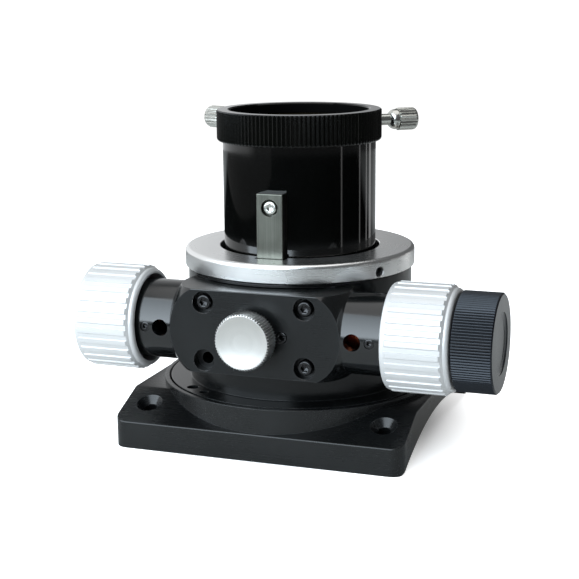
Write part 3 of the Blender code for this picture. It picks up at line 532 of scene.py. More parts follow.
def build_screws(finish):
    """Every fastener, each placed on the axis of the node that it stands for."""
    for k in range(1, 4):
        node = f"housing_screw_{k}"
        middle, low = centre(node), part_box(node)[0]
        seat_y = low.y + 3.0 * MM
        at = front_frame(middle.x, middle.z) @ shift(0, 0, -seat_y)
        place_screw(f"face_cap_screw_{k}", node,
                    cap_screw_profile(2.75 * MM, 3.0 * MM, 1.5 * MM, 17 * MM, 2.5 * MM),
                    at, finish["screw"])
    for node, radius, length, key in (("tension_set_screw", 1.8 * MM, 7.0 * MM, 2.0 * MM),
                                      ("tube_set_screw_left", 1.65 * MM, 3.2 * MM, 1.5 * MM),
                                      ("tube_set_screw_right", 1.65 * MM, 3.2 * MM, 1.5 * MM)):
        middle, low = centre(node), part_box(node)[0]
        at = front_frame(middle.x, middle.z) @ shift(0, 0, -low.y)
        place_screw(node.replace("set", "grub"), node, set_screw_profile(radius, length, key),
                    at, finish["screw"])
    for k in range(1, 4):
        node = f"push_screw_{k}"
        middle, high = centre(node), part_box(node)[1]
        place_screw(f"tilt_push_screw_{k}", node,
                    set_screw_profile(1.9 * MM, 3.0 * MM, 2.0 * MM),
                    shift(middle.x, middle.y, high.z), finish["screw"])
        node = f"pull_screw_{k}"
        middle, low = centre(node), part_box(node)[0]
        at = shift(middle.x, middle.y, low.z + 2.0 * MM) @ Matrix.Rotation(pi, 4, "X")
        place_screw(f"tilt_pull_screw_{k}", node,
                    cap_screw_profile(2.75 * MM, 2.0 * MM, 1.35 * MM, 5.6 * MM, 2.0 * MM),
                    at, finish["screw"])
    for k in (1, 2):
        node = f"ring_set_screw_{k}"
        middle = centre(node)
        outer = middle.xy.length + 2.0 * MM
        at = radial_frame(middle) @ shift(0, 0, outer)
        place_screw(f"ring_grub_screw_{k}", node, set_screw_profile(1.5 * MM, 4.0 * MM, 1.5 * MM),
                    at, finish["screw"])
        node = f"rail_screw_{k}"
        middle, low = centre(node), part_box(node)[0]
        seat_y = low.y + 2.0 * MM
        at = front_frame(middle.x, middle.z) @ shift(0, 0, -seat_y)
        place_screw(f"rail_cap_screw_{k}", node,
                    cap_screw_profile(2.6 * MM, 2.0 * MM, 1.4 * MM, 3.0 * MM, 2.0 * MM),
                    at, finish["plated"])
    for node, radius, key in (("coarse_grub_left", 1.5 * MM, 1.5 * MM),
                              ("coarse_grub_right", 1.5 * MM, 1.5 * MM),
                              ("fine_grub", 1.2 * MM, 1.3 * MM)):
        middle, high = centre(node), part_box(node)[1]
        at = shift(middle.x, high.y, middle.z) @ Matrix.Rotation(-pi / 2, 4, "X")
        place_screw(node + "_screw", node, set_screw_profile(radius, size(node).y, key), at,
                    finish["screw"])


# ---------------------------------------------------------------- base

BASE_FLAT_Z = 17.4 * MM
BASE_BEND_Y = 32.5 * MM
BASE_EDGE_Z = 9.9 * MM
BASE_CORNER_R = 4.5 * MM
BASE_BORE_R = 34.0 * MM
SADDLE_R = 125.0 * MM
SADDLE_TOP_Z = 10.6 * MM
BOSS_R = 51.3 * MM
RECESS_R = 49.4 * MM
RECESS_Z = 15.1 * MM
CORNER_HOLE_X = 44.0 * MM
CORNER_HOLE_Y = 41.0 * MM
CORNER_HOLE_R = 2.3 * MM
COUNTERSINK_R = 4.7 * MM
PULL_COUNTERBORE_R = 3.1 * MM


def build_base(finish):
    """Square saddle plate: sloping wings, round boss, countersunk corners."""
    x, y = BASE_HALF_X - BASE_CORNER_R, BASE_HALF_Y - BASE_CORNER_R
    rounded = []
    for corner, start in (((x, y), 0), ((-x, y), pi / 2), ((-x, -y), pi), ((x, -y), 1.5 * pi)):
        rounded += arc(corner, BASE_CORNER_R, start, start + pi / 2, 10)
    plate = to_object("saddle_base_plate", prism(rounded, BASE_LOW_Z, BASE_FLAT_Z))
    slope = atan2(BASE_FLAT_Z - BASE_EDGE_Z, BASE_HALF_Y - BASE_BEND_Y)
    for side in (-1, 1):
        wedge = block((-80 * MM, 0, 0), (80 * MM, 60 * MM, 40 * MM))
        tilt = shift(0, side * BASE_BEND_Y, BASE_FLAT_Z)
        tilt = tilt @ Matrix.Rotation(0 if side > 0 else pi, 4, "Z") @ Matrix.Rotation(-slope, 4, "X")
        cut(plate, [wedge], tilt)
    bevel = plate.modifiers.new("edges", "BEVEL")
    bevel.width = 0.35 * MM
    bevel.segments = 3
    bevel.limit_method = "ANGLE"
    bevel.angle_limit = radians(40)
    boss = turned([(0, BOSS_Z), (BOSS_R, BOSS_Z), (BOSS_R, 4 * MM), (0, 4 * MM)],
                  LARGE_ROUND, 0.4 * MM)
    carve(plate, "UNION", [boss])
    rim = 0.35 * MM
    passage = [(0, 30 * MM), (RECESS_R + rim, 30 * MM), (RECESS_R + rim, BOSS_Z),
               (RECESS_R, BOSS_Z - rim), (RECESS_R, RECESS_Z), (BASE_BORE_R, RECESS_Z),
               (BASE_BORE_R, -5 * MM), (0, -5 * MM)]
    saddle = moved(rod(SADDLE_R, -70 * MM, 70 * MM, 2 * LARGE_ROUND),
                   shift(0, 0, SADDLE_TOP_Z - SADDLE_R) @ Matrix.Rotation(pi / 2, 4, "Y"))
    cut(plate, [turned(passage, LARGE_ROUND), saddle])

    hole_z = BASE_FLAT_Z - (CORNER_HOLE_Y - BASE_BEND_Y) * tan(slope)
    sink = COUNTERSINK_R - CORNER_HOLE_R
    for side_x in (-1, 1):
        for side_y in (-1, 1):
            mouth = COUNTERSINK_R + 1 * MM
            hole = turned([(0, 8 * MM), (mouth, 8 * MM), (mouth, 1 * MM),
                           (CORNER_HOLE_R, -sink), (CORNER_HOLE_R, -25 * MM), (0, -25 * MM)],
                          SMALL_ROUND)
            at = shift(side_x * CORNER_HOLE_X, side_y * CORNER_HOLE_Y, hole_z)
            cut(plate, [hole], at @ Matrix.Rotation(-side_y * slope, 4, "X"))
    for k in range(1, 4):
        middle, low = centre(f"pull_screw_{k}"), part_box(f"pull_screw_{k}")[0]
        seat_z = low.z + 2.0 * MM + GAP
        hole = turned([(0, 25 * MM), (1.7 * MM, 25 * MM), (1.7 * MM, seat_z),
                       (PULL_COUNTERBORE_R, seat_z), (PULL_COUNTERBORE_R, -5 * MM),
                       (0, -5 * MM)], SMALL_ROUND)
        cut(plate, [hole], shift(middle.x, middle.y, 0))
    finish_piece(plate, "base_plate", [finish["base"]])


# ---------------------------------------------------------------- body and ring

def build_body(finish):
    """Barrel on a round flange, milled flat in front and slotted for the rail."""
    edge = 0.35 * MM
    profile = soften([(BODY_BORE_R, SPIGOT_Z), (SPIGOT_R, SPIGOT_Z), (SPIGOT_R, BARREL_TOP_Z),
                      (BARREL_R, BARREL_TOP_Z), (BARREL_R, FLANGE_TOP_Z),
                      (FLANGE_R, FLANGE_TOP_Z), (FLANGE_R, FLANGE_LOW_Z),
                      (BODY_BORE_R, FLANGE_LOW_Z)], edge)
    body = to_object("turned_body", lathe(profile, round_spokes(LARGE_ROUND)))
    back_y = -33.6 * MM
    low, high = SHAFT_Z - HOUSING_HALF_Z - GAP, SHAFT_Z + HOUSING_HALF_Z + GAP
    relief = moved(rod(3.6 * MM, -29 * MM, 29 * MM), axle_frame(0))
    cut(body, [block((-30 * MM, -60 * MM, low), (30 * MM, back_y, high)),
               block((-SLOT_HALF_X, -34.5 * MM, 10 * MM), (SLOT_HALF_X, -25 * MM, 70 * MM)),
               relief])
    for k in range(1, 5):
        middle = centre(f"roller_bearing_{k}")
        turn = shift(0, 0, middle.z) @ Matrix.Rotation(atan2(middle.y, middle.x), 4, "Z")
        circle_r = middle.xy.length
        pocket = block((27 * MM, -2.6 * MM, -5.8 * MM), (38.9 * MM, 2.6 * MM, 5.8 * MM))
        axle = moved(rod(1.55 * MM, -5.8 * MM, 5.8 * MM),
                     shift(circle_r, 0, 0) @ Matrix.Rotation(pi / 2, 4, "X"))
        cut(body, [pocket, axle], turn)
    holes = []
    for k in range(1, 4):
        for node, radius in ((f"push_screw_{k}", 2.05 * MM), (f"pull_screw_{k}", 1.5 * MM)):
            middle = centre(node)
            rim = 0.2 * MM
            hole = turned([(0, 25 * MM), (radius + rim, 25 * MM), (radius + rim, FLANGE_TOP_Z),
                           (radius, FLANGE_TOP_Z - rim), (radius, 10 * MM), (0, 10 * MM)],
                          SMALL_ROUND)
            holes.append(moved(hole, shift(middle.x, middle.y, 0)))
    cut(body, holes)
    finish_piece(body, "focuser_body", [finish["body"]])


def build_top_ring(finish):
    """Bright ring with a fillet, a slot for the rail and two radial holes."""
    fillet = 1.5 * MM
    seat_r, seat_z = SPIGOT_R + GAP, SPIGOT_Z + GAP
    bore_r = 29.5 * MM
    low_edge = 0.4 * MM
    profile = [(bore_r + 0.25 * MM, RING_TOP_Z)]
    profile += arc((RING_R - fillet, RING_TOP_Z - fillet), fillet, pi / 2, 0, 8)
    profile += arc((RING_R - low_edge, RING_LOW_Z + low_edge), low_edge, 0, -pi / 2, 3)
    profile += [(seat_r, RING_LOW_Z), (seat_r, seat_z), (bore_r, seat_z),
                (bore_r, RING_TOP_Z - 0.25 * MM)]
    ring = to_object("satin_top_ring", lathe(profile, round_spokes(LARGE_ROUND)))
    slot = block((-SLOT_HALF_X, -33.3 * MM, 55 * MM), (SLOT_HALF_X, -25 * MM, 75 * MM))
    cut(ring, [slot])
    hole_r, rim = 1.65 * MM, 0.35 * MM
    for k in (1, 2):
        middle = centre(f"ring_set_screw_{k}")
        hole = turned([(0, 50 * MM), (hole_r + 7.7 * MM, 50 * MM), (hole_r + rim, RING_R),
                       (hole_r, RING_R - rim), (hole_r, 33 * MM), (0, 33 * MM)], SMALL_ROUND)
        cut(ring, [hole], radial_frame(middle))
    finish_piece(ring, "top_ring", [finish["ring"]])


def build_bearings(finish):
    """Shielded ball bearings behind the drawtube."""
    for k in range(1, 5):
        node = f"roller_bearing_{k}"
        middle = centre(node)
        outer, half = size(node).z / 2, 2.0 * MM
        bore, shield, inner_race = 1.6 * MM, 4.1 * MM, 2.4 * MM
        side = [(outer, half), (shield, half), (shield, half - 0.2 * MM),
                (inner_race, half - 0.2 * MM), (inner_race, half), (bore, half)]
        profile = side + [(r, -z) for r, z in side[::-1]]
        item = to_object(f"shielded_bearing_{k}", turned(profile, MEDIUM_ROUND, 0.12 * MM))
        angle = atan2(middle.y, middle.x)
        at = Matrix.Translation(middle) @ Matrix.Rotation(angle, 4, "Z") @ Matrix.Rotation(pi / 2, 4, "X")
        finish_piece(item, node, [finish["steel"]], at)


# ---------------------------------------------------------------- pinion housing

HOUSING_FLAT_HALF_X = 22.4 * MM
HOUSING_SHOULDER_X = 31.0 * MM
HOUSING_BACK_Y = -33.9 * MM
TUBE_END_R = 14.2 * MM
TUBE_BORE_R_X = 10.5 * MM
TUBE_BORE_X = 30.0 * MM
COUNTERBORE_R = 3.8 * MM
COUNTERBORE_DEPTH = 3.9 * MM
PORT_X = 35.1 * MM
PORT_R = 3.0 * MM


def shoulder_profile():
    """The turned shoulder from the milled middle down to the end tube, for x > 0."""
    start = Vector((HOUSING_FLAT_HALF_X, sqrt((FACE_Y - SHAFT_Y) ** 2 + HOUSING_HALF_Z ** 2)))
    end = Vector((HOUSING_SHOULDER_X, abs(FACE_Y - SHAFT_Y)))
    chord = end - start
    bulge = 0.9 * MM
    radius = (chord.length ** 2 / 4 + bulge ** 2) / (2 * bulge)
    normal = Vector((chord.y, -chord.x)).normalized()
    middle = (start + end) / 2 + normal * (radius - bulge)
    first = atan2(start.y - middle.y, start.x - middle.x)
    last = atan2(end.y - middle.y, end.x - middle.x)
    return [(r, x) for x, r in arc(middle, radius, first, last, 14)]


def face_hole(radius, depth, rim, counterbore_r=None, counterbore_depth=0.0, surface=0.0):
    """A hole drilled in from the face, with a broken edge and an optional counterbore."""
    mouth = counterbore_r or radius
    profile = [(0, surface + 5 * MM), (mouth + 5 * MM + rim, surface + 5 * MM),
               (mouth + rim, surface), (mouth, surface - rim)]
    if counterbore_r:
        profile += [(mouth, surface - counterbore_depth), (radius, surface - counterbore_depth)]
    profile += [(radius, surface - depth), (0, surface - depth)]
    return turned(profile, SMALL_ROUND)


def build_housing(finish):
    """Turned bar with a milled face plate, bored at both ends for the drive."""
    shoulder = shoulder_profile()
    wide = shoulder[0][0] + 0.5 * MM
    edge = 0.3 * MM
    right = [(wide, HOUSING_FLAT_HALF_X - 0.5 * MM)] + shoulder
    right += [(TUBE_END_R, HOUSING_SHOULDER_X + 0.3 * MM), (TUBE_END_R, HOUSING_END_X - edge),
              (TUBE_END_R - edge, HOUSING_END_X)]
    profile = [(0, HOUSING_END_X)] + right[::-1] + [(r, -x) for r, x in right]
    profile += [(0, -HOUSING_END_X)]
    housing = to_object("anodised_housing", lathe(profile, round_spokes(LARGE_ROUND)))
    housing.data.transform(axle_frame(0))
    low, high = SHAFT_Z - HOUSING_HALF_Z, SHAFT_Z + HOUSING_HALF_Z
    carve(housing, "INTERSECT", [block((-60 * MM, FACE_Y, low), (60 * MM, 10 * MM, high),
                                       0.3 * MM)])
    clear_r = BARREL_R + GAP
    edge_angle = asin(HOUSING_BACK_Y / clear_r)
    outline = arc((0, 0), clear_r, edge_angle, pi - edge_angle, 120)
    cut(housing, [prism(outline, 10 * MM, 80 * MM)])
    rim = 0.3 * MM
    bore = [(0, 60 * MM), (TUBE_BORE_R_X + rim, 60 * MM), (TUBE_BORE_R_X + rim, HOUSING_END_X),
            (TUBE_BORE_R_X, HOUSING_END_X - rim), (TUBE_BORE_R_X, TUBE_BORE_X),
            (3.5 * MM, TUBE_BORE_X)]
    bore += [(r, -x) for r, x in bore[::-1]]
    cut(housing, [turned(bore, MEDIUM_ROUND)], axle_frame(0))

    face, rim = -FACE_Y, 0.15 * MM
    screws = [(centre(f"housing_screw_{k}").x, centre(f"housing_screw_{k}").z)
              for k in range(1, 4)]
    for x, z in screws:
        hole = face_hole(1.7 * MM, 30 * MM, rim, COUNTERBORE_R, COUNTERBORE_DEPTH, face)
        cut(housing, [hole], front_frame(x, z))
    empty_x = min(x for x, z in screws)
    empty_z = min(z for x, z in screws)
    hole = face_hole(2.1 * MM, 30 * MM, rim, COUNTERBORE_R, COUNTERBORE_DEPTH, face)
    cut(housing, [hole], front_frame(empty_x, empty_z))
    tension_x = centre("tension_set_screw").x
    cut(housing, [face_hole(2.0 * MM, 9 * MM, rim, surface=face)], front_frame(tension_x, SHAFT_Z))
    cut(housing, [face_hole(2.65 * MM, 14 * MM, rim, surface=face)], front_frame(0, SHAFT_Z))
    tube_front = -(SHAFT_Y - TUBE_END_R)
    for side in (-1, 1):
        cut(housing, [rod(PORT_R, 40 * MM, 60 * MM)], front_frame(side * PORT_X, SHAFT_Z))
        node = "tube_set_screw_right" if side > 0 else "tube_set_screw_left"
        cut(housing,
              [face_hole(1.75 * MM, 9 * MM, 0.12 * MM, surface=tube_front)],
              front_frame(centre(node).x, SHAFT_Z))
    finish_piece(housing, "pinion_housing", [finish["housing"], finish["milled"]],
                 second=lambda middle, normal: max(abs(normal.y), abs(normal.z)) > 0.9999)


def build_lock(finish):
    """Knurled lock screw with a turned face."""
    low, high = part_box("lock_knob")
    radius = size("lock_knob").x / 2
    front, back, tip = -low.y, -(FACE_Y - 3.6 * MM), -high.y
    chamfer = 0.75 * MM
    profile = [(0, front - 0.1 * MM), (radius - 1.6 * MM, front - 0.1 * MM),
               (radius - 1.3 * MM, front), (radius - chamfer, front)]
    profile += [(radius - chamfer * (1 - k / 4), front - 0.6 * MM * k / 4) for k in range(1, 5)]
    profile += [(radius, back + 0.6 * MM), (radius - 0.3 * MM, back + 0.3 * MM),
                (radius - 0.6 * MM, back), (4.5 * MM, back), (4.5 * MM, back - 2.4 * MM),
                (2.4 * MM, back - 2.4 * MM), (2.4 * MM, tip + 0.3 * MM), (2.1 * MM, tip),
                (0, tip)]
    spokes = toothed_spokes(LOCK_RIDGES, radius, 0.8 * MM, CREST)
    knob = to_object("knurled_lock_knob", lathe(profile, spokes))
    finish_piece(knob, "lock_knob", [finish["knurled_silver"], finish["face"]],
                 front_frame(0, SHAFT_Z),
                 lambda middle, normal: normal.z > 0.9 and middle.z > front - 0.3 * MM)


# ---------------------------------------------------------------- drive

FLUTES = 30
FLUTE_DEPTH = 0.45 * MM
CUP_R = 15.3 * MM
CUP_DEPTH = 5.2 * MM
BAND_START = 1.8 * MM
BAND_END = 2.8 * MM
LIP_R = 17.75 * MM
LIP_WIDTH = 0.35 * MM
ROUND_END_R = 16.4 * MM


def coarse_knob(node, name, cup_first, bore_r, finish):
    """Fluted aluminium knob. The plain rim is at its low end, the lip at its high end."""
    low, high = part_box(node)
    radius = size(node).z / 2
    rim_r, length = radius - FLUTE_DEPTH, high.x - low.x
    band_low, band_high = BAND_START, length - BAND_END
    rim_edge = 1.2 * MM
    step = 0.25 * MM
    lip_x = band_high + radius - LIP_R
    round_x = lip_x + LIP_WIDTH
    outside = arc((rim_r - rim_edge, rim_edge), rim_edge, -pi / 2, 0, 8)
    outside += [(rim_r, band_low), (radius - step, band_low + 0.1 * MM),
                (radius, band_low + 0.1 * MM + step), (radius, band_high),
                (rim_r, band_high + radius - rim_r), (LIP_R, lip_x)]
    outside += [(ROUND_END_R + (LIP_R - ROUND_END_R) * cos(turn),
                 round_x + (length - round_x) * sin(turn))
                for turn in (pi / 2 * k / 6 for k in range(7))]
    if cup_first:
        profile = outside[::-1] + [(CUP_R + 0.3 * MM, 0), (CUP_R, 0.4 * MM), (CUP_R, CUP_DEPTH),
                                   (bore_r, CUP_DEPTH), (bore_r, length)]
    else:
        floor = length - CUP_DEPTH
        profile = [(0, 6 * MM), (bore_r, 6 * MM), (bore_r, floor), (CUP_R - 0.4 * MM, floor),
                   (CUP_R, floor + 0.4 * MM), (CUP_R + 0.6 * MM, length)] + outside[::-1]
        profile += [(10 * MM, 0), (9.6 * MM, 0.25 * MM), (0, 0.25 * MM)]
    spokes = toothed_spokes(FLUTES, radius, FLUTE_DEPTH, FLUTE)
    knob = to_object(name, lathe(profile, spokes))
    at = axle_frame(low.x)
    grub = centre("coarse_grub_left" if node == "coarse_knob_left" else "coarse_grub_right")
    hole = turned([(0, 25 * MM), (7.9 * MM, 25 * MM), (1.85 * MM, radius - 0.4 * MM),
                   (1.65 * MM, radius - 0.6 * MM), (1.65 * MM, 1 * MM), (0, 1 * MM)], SMALL_ROUND)
    cut(knob, [hole], shift(0, 0, grub.x - low.x) @ Matrix.Rotation(-pi / 2, 4, "X"))
    finish_piece(knob, node, [finish["silver"]], at)


def build_fine_knob(finish):
    """Black knob with fine straight knurling and a dished end."""
    node = "fine_knob"
    low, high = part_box(node)
    radius, length = size(node).z / 2, high.x - low.x
    edge = 0.6 * MM
    dish_r, fillet, step, dish = 10.6 * MM, 2.0 * MM, 0.25 * MM, 0.7 * MM
    shaft_end = length - 4.5 * MM
    profile = [(0, length - dish)]
    profile += [(dish_r - fillet * (1 - k / 6), length - dish + (dish - step) * (k / 6) ** 2)
                for k in range(7)]
    profile += [(dish_r, length - 0.1 * MM), (dish_r + 0.12 * MM, length)]
    profile += [(radius - edge * (1 - k / 3), length - edge * k / 3) for k in range(4)]
    profile += [(radius - edge * k / 3, edge * (1 - k / 3)) for k in range(4)]
    profile += [(1.7 * MM, 0), (1.7 * MM, shaft_end), (0, shaft_end)]
    spokes = toothed_spokes(FINE_RIDGES, radius, 0.32 * MM, CREST)
    knob = to_object("knurled_fine_knob", lathe(profile, spokes))
    grub = centre("fine_grub")
    hole = turned([(0, 22 * MM), (6.5 * MM, 22 * MM), (1.6 * MM, radius - 0.1 * MM),
                   (1.35 * MM, radius - 0.35 * MM), (1.35 * MM, 1 * MM), (0, 1 * MM)], SMALL_ROUND)
    cut(knob, [hole], shift(0, 0, grub.x - low.x) @ Matrix.Rotation(-pi / 2, 4, "X"))
    at = axle_frame(low.x)
    finish_piece(knob, node, [finish["fine"]], at)


SLEEVE_GROWN = 1.0 * MM
RIB_DEPTH = 0.9 * MM


def build_sleeve(finish):
    """Ribbed copper-coloured sleeve in the right port, grown so that light reaches it."""
    low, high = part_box("spacer_sleeve")
    radius, length = size("spacer_sleeve").z / 2 + SLEEVE_GROWN, high.x - low.x
    ribs = 7
    pitch = length / ribs
    profile = [(3.2 * MM, 0)]
    for k in range(ribs):
        profile += [(radius - RIB_DEPTH, k * pitch), (radius, (k + 0.4) * pitch),
                    (radius, (k + 0.5) * pitch), (radius - RIB_DEPTH, (k + 0.9) * pitch)]
    profile += [(radius - RIB_DEPTH, length), (3.2 * MM, length)]
    sleeve = to_object("ribbed_sleeve", turned(profile, MEDIUM_ROUND))
    at = axle_frame(low.x)
    finish_piece(sleeve, "spacer_sleeve", [finish["bronze"]], at)


# ---------------------------------------------------------------- drawtube

def build_drawtube(finish):
    """Gloss black tube, flat black inside."""
    profile = soften([(TUBE_BORE_R, TUBE_TOP_Z), (TUBE_R, TUBE_TOP_Z), (TUBE_R, TUBE_LOW_Z),
                      (TUBE_BORE_R, TUBE_LOW_Z)], 0.4 * MM)
    tube = to_object("gloss_drawtube", lathe(profile, round_spokes(LARGE_ROUND)))
    wall = (TUBE_R + TUBE_BORE_R) / 2
    finish_piece(tube, "drawtube", [finish["gloss"], finish["inside"]],
                 second=lambda middle, normal: middle.xy.length < wall - 0.5 * MM)


def build_rail(finish):
    """Brushed steel bar on the drawtube, counterbored for its screws."""
    rail = to_object("brushed_drive_rail", block((-RAIL_HALF_X, RAIL_FRONT_Y, RAIL_LOW_Z),
                                                 (RAIL_HALF_X, -25 * MM, RAIL_TOP_Z), 0.4 * MM))
    cut(rail, [rod(TUBE_R + 0.15 * MM, 0, 150 * MM, 2 * LARGE_ROUND)])
    for k in (1, 2):
        hole = face_hole(1.6 * MM, 20 * MM, 0.15 * MM, 3.0 * MM, 2.7 * MM, -RAIL_FRONT_Y)
        cut(rail, [hole], front_frame(0, centre(f"rail_screw_{k}").z))
    finish_piece(rail, "drive_rail", [finish["rail"]])


def build_collar(finish):
    """Clamp collar with straight ridges all round and a flat black bore."""
    groove_r, groove_low, groove_high = 27.0 * MM, 110.9 * MM, 114.3 * MM
    seat_r, step_z = TUBE_R + 0.2 * MM, TUBE_TOP_Z + GAP
    top_edge, low_edge = 0.55 * MM, 1.2 * MM
    profile = [(EYEPIECE_BORE_R + 0.5 * MM, COLLAR_TOP_Z)]
    profile += [(COLLAR_R - top_edge * (1 - k / 5), COLLAR_TOP_Z - 0.45 * MM * k / 5)
                for k in range(6)]
    profile += arc((COLLAR_R - low_edge, COLLAR_LOW_Z + low_edge), low_edge, 0, -pi / 2, 8)
    profile += [(seat_r, COLLAR_LOW_Z), (seat_r, step_z), (EYEPIECE_BORE_R, step_z),
                (EYEPIECE_BORE_R, groove_low), (groove_r, groove_low), (groove_r, groove_high),
                (EYEPIECE_BORE_R, groove_high), (EYEPIECE_BORE_R, COLLAR_TOP_Z - 0.5 * MM)]
    spokes = toothed_spokes(COLLAR_RIDGES, COLLAR_R, 0.5 * MM, RIDGE)
    collar = to_object("knurled_clamp_collar", lathe(profile, spokes))
    for node in ("clamp_screw_right", "clamp_screw_left"):
        middle = centre(node)
        cut(collar, [rod(2.25 * MM, 26.5 * MM, 35 * MM)], radial_frame(middle))
    finish_piece(collar, "clamp_collar", [finish["knurl"], finish["inside"]],
                 second=lambda middle, normal: middle.xy.length < EYEPIECE_BORE_R + 0.1 * MM)


def build_clamp_ring(finish):
    """Split brass ring in the collar's groove."""
    half_split = radians(4)
    inner, outer = EYEPIECE_BORE_R + 0.1 * MM, 26.7 * MM
    low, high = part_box("clamp_ring")
    outline = arc((0, 0), outer, half_split - pi / 2, 1.5 * pi - half_split, 160)
    outline += arc((0, 0), inner, 1.5 * pi - half_split, half_split - pi / 2, 160)
    ring = to_object("split_clamp_ring", prism(outline, low.z, high.z))
    finish_piece(ring, "clamp_ring", [finish["brass"]])


def build_clamp_screws(finish):
    """Knurled thumb screws in the collar."""
    for node in ("clamp_screw_right", "clamp_screw_left"):
        head_r, out = 4.2 * MM, 16.1 * MM
        shank_r = 2.1 * MM
        profile = [(0, out - 0.25 * MM), (1.9 * MM, out - 0.2 * MM), (2.5 * MM, out),
                   (3.1 * MM, out - 0.02 * MM), (3.55 * MM, out - 0.25 * MM),
                   (3.85 * MM, out - 0.55 * MM), (4.05 * MM, out - 0.9 * MM),
                   (head_r, out - 1.3 * MM), (head_r, 8.9 * MM), (head_r - 0.15 * MM, 8.7 * MM),
                   (3.45 * MM, 8.6 * MM), (3.45 * MM, 8.3 * MM), (3.8 * MM, 8.2 * MM)]
        profile += [(3.8 * MM - 1.7 * MM * (1 - cos(turn)), 8.2 * MM - 2.8 * MM * sin(turn))
                    for turn in (radians(15 * k) for k in range(1, 7))]
        profile += [(shank_r, -2.7 * MM), (1.8 * MM, -3.0 * MM), (0, -3.0 * MM)]
        spokes = toothed_spokes(THUMB_RIDGES, head_r, 0.34 * MM, RIDGE)
        item = to_object(node.replace("clamp_screw", "thumb_screw"), lathe(profile, spokes))
        at = radial_frame(centre(node)) @ shift(0, 0, COLLAR_R)
        finish_piece(item, node, [finish["plated"]], at)


def refinish_hidden_nodes(finish):
    """CAD nodes whose shape is right keep it and get a better finish."""
    choices = {"drive_shaft": "steel", "fine_shaft": "steel", "shaft_bush": "bronze",
               "reducer_race": "steel", "lock_pad": "nylon"}
    choices.update({f"bearing_axle_{k}": "steel" for k in range(1, 5)})
    choices.update({f"reducer_ball_{k}": "steel" for k in range(1, 4)})
    for node, key in choices.items():
        mesh = frame["nodes"][node].data
        mesh.materials.clear()
        mesh.materials.append(finish[key])


# ---------------------------------------------------------------- studio

FLOOR_R = 0.9
# painted shade: the paper's colour in reflections, darker than the camera sees it
PAPER_SHADED_IN_REFLECTIONS = (0.54, 0.54, 0.525)
BRIGHT_SIDE = (-0.94, 0.34, 0.0)


def build_floor():
    """Large pale floor, bright all the way out. In reflections only it is painted darker grey, and
    painted near black past 0.33 m in front, as the shade of a dim room beyond the paper sheet.
    """
    shape = bmesh.new()
    bmesh.ops.create_circle(shape, cap_ends=True, radius=FLOOR_R, segments=96)
    floor = to_object("studio_floor", shape)
    floor.location.z = BASE_LOW_Z - 0.02 * MM
    graph = Graph("floor_paper", "")
    graph.shader.inputs["Roughness"].default_value = 0.9
    graph.shader.inputs["Specular IOR Level"].default_value = 0.0
    graph.shader.inputs["Emission Color"].default_value = (1, 1, 1, 1)
    path = graph.node("ShaderNodeLightPath")
    fibres = graph.spread(graph.noise(graph.position(), 400), 0.0, 1.0)
    paper = graph.mix(fibres, (0.90, 0.90, 0.90), (0.93, 0.93, 0.93))
    # painted shade: reflections see the paper darker than the camera does
    paper_shaded_in_reflections = graph.mix(path.outputs["Is Glossy Ray"], paper, PAPER_SHADED_IN_REFLECTIONS)
    # painted shade: in reflections the floor is painted near black past 0.33 m in front, standing for a
    # dim room
    away = graph.node("ShaderNodeVectorMath", {0: graph.position()}, operation="LENGTH")
    depth = graph.node("ShaderNodeSeparateXYZ", {0: graph.position()}).outputs[1]
    past = graph.spread(away.outputs["Value"], 0.0, 1.0, 0.33, 0.42)
    front = graph.spread(depth, 1.0, 0.0, 0.34, 0.46)
    dark = graph.node("ShaderNodeMath", {0: past, 1: front}, operation="MULTIPLY").outputs[0]
    dark = graph.node("ShaderNodeMath", {0: dark, 1: path.outputs["Is Glossy Ray"]},
                      operation="MULTIPLY").outputs[0]
    graph.feed("Base Color", graph.mix(dark, paper_shaded_in_reflections, (0.010, 0.010, 0.010)))
    # painted light: for camera rays the floor glows white, fading in from 4 cm to 7.6 cm out, which
    # paints over the object's shadow there
    fade = graph.spread(away.outputs["Value"], 0.0, 1.0, 0.040, 0.076)
    glow = graph.node("ShaderNodeMath", {0: fade, 1: path.outputs["Is Camera Ray"]},
                      operation="MULTIPLY").outputs[0]
    graph.feed("Emission Strength", glow)
    floor.data.materials.append(graph.material)


def build_world():
    """White behind the object. The room it reflects is bright at the back left, dim elsewhere."""
    world = bpy.data.worlds.new("studio_room")
    bpy.context.scene.world = world
    world.use_nodes = True
    nodes, links = world.node_tree.nodes, world.node_tree.links
    room = nodes["Background"]
    room.inputs["Color"].default_value = (0.96, 0.98, 1.0, 1)
    heading = nodes.new("ShaderNodeVectorMath")
    heading.operation = "DOT_PRODUCT"
    heading.inputs[1].default_value = BRIGHT_SIDE
    links.new(nodes.new("ShaderNodeTexCoord").outputs["Generated"], heading.inputs[0])
    level = nodes.new("ShaderNodeMapRange")
    for socket, value in (("From Min", 0.48), ("From Max", 0.72), ("To Min", 0.12),
                          ("To Max", 1.0)):
        level.inputs[socket].default_value = value
    links.new(heading.outputs["Value"], level.inputs["Value"])
    links.new(level.outputs["Result"], room.inputs["Strength"])
    backdrop = nodes.new("ShaderNodeBackground")
    backdrop.inputs["Color"].default_value = (1, 1, 1, 1)
    backdrop.inputs["Strength"].default_value = 1.1
    seen = nodes.new("ShaderNodeLightPath")
    choose = nodes.new("ShaderNodeMixShader")
    links.new(seen.outputs["Is Camera Ray"], choose.inputs[0])
    links.new(room.outputs[0], choose.inputs[1])
    links.new(backdrop.outputs[0], choose.inputs[2])
    links.new(choose.outputs[0], nodes["World Output"].inputs["Surface"])


def around(bearing, distance, height):
    """A place in the room. The bearing runs from straight in front towards +X."""
    return Vector((distance * sin(bearing), -distance * cos(bearing), height))


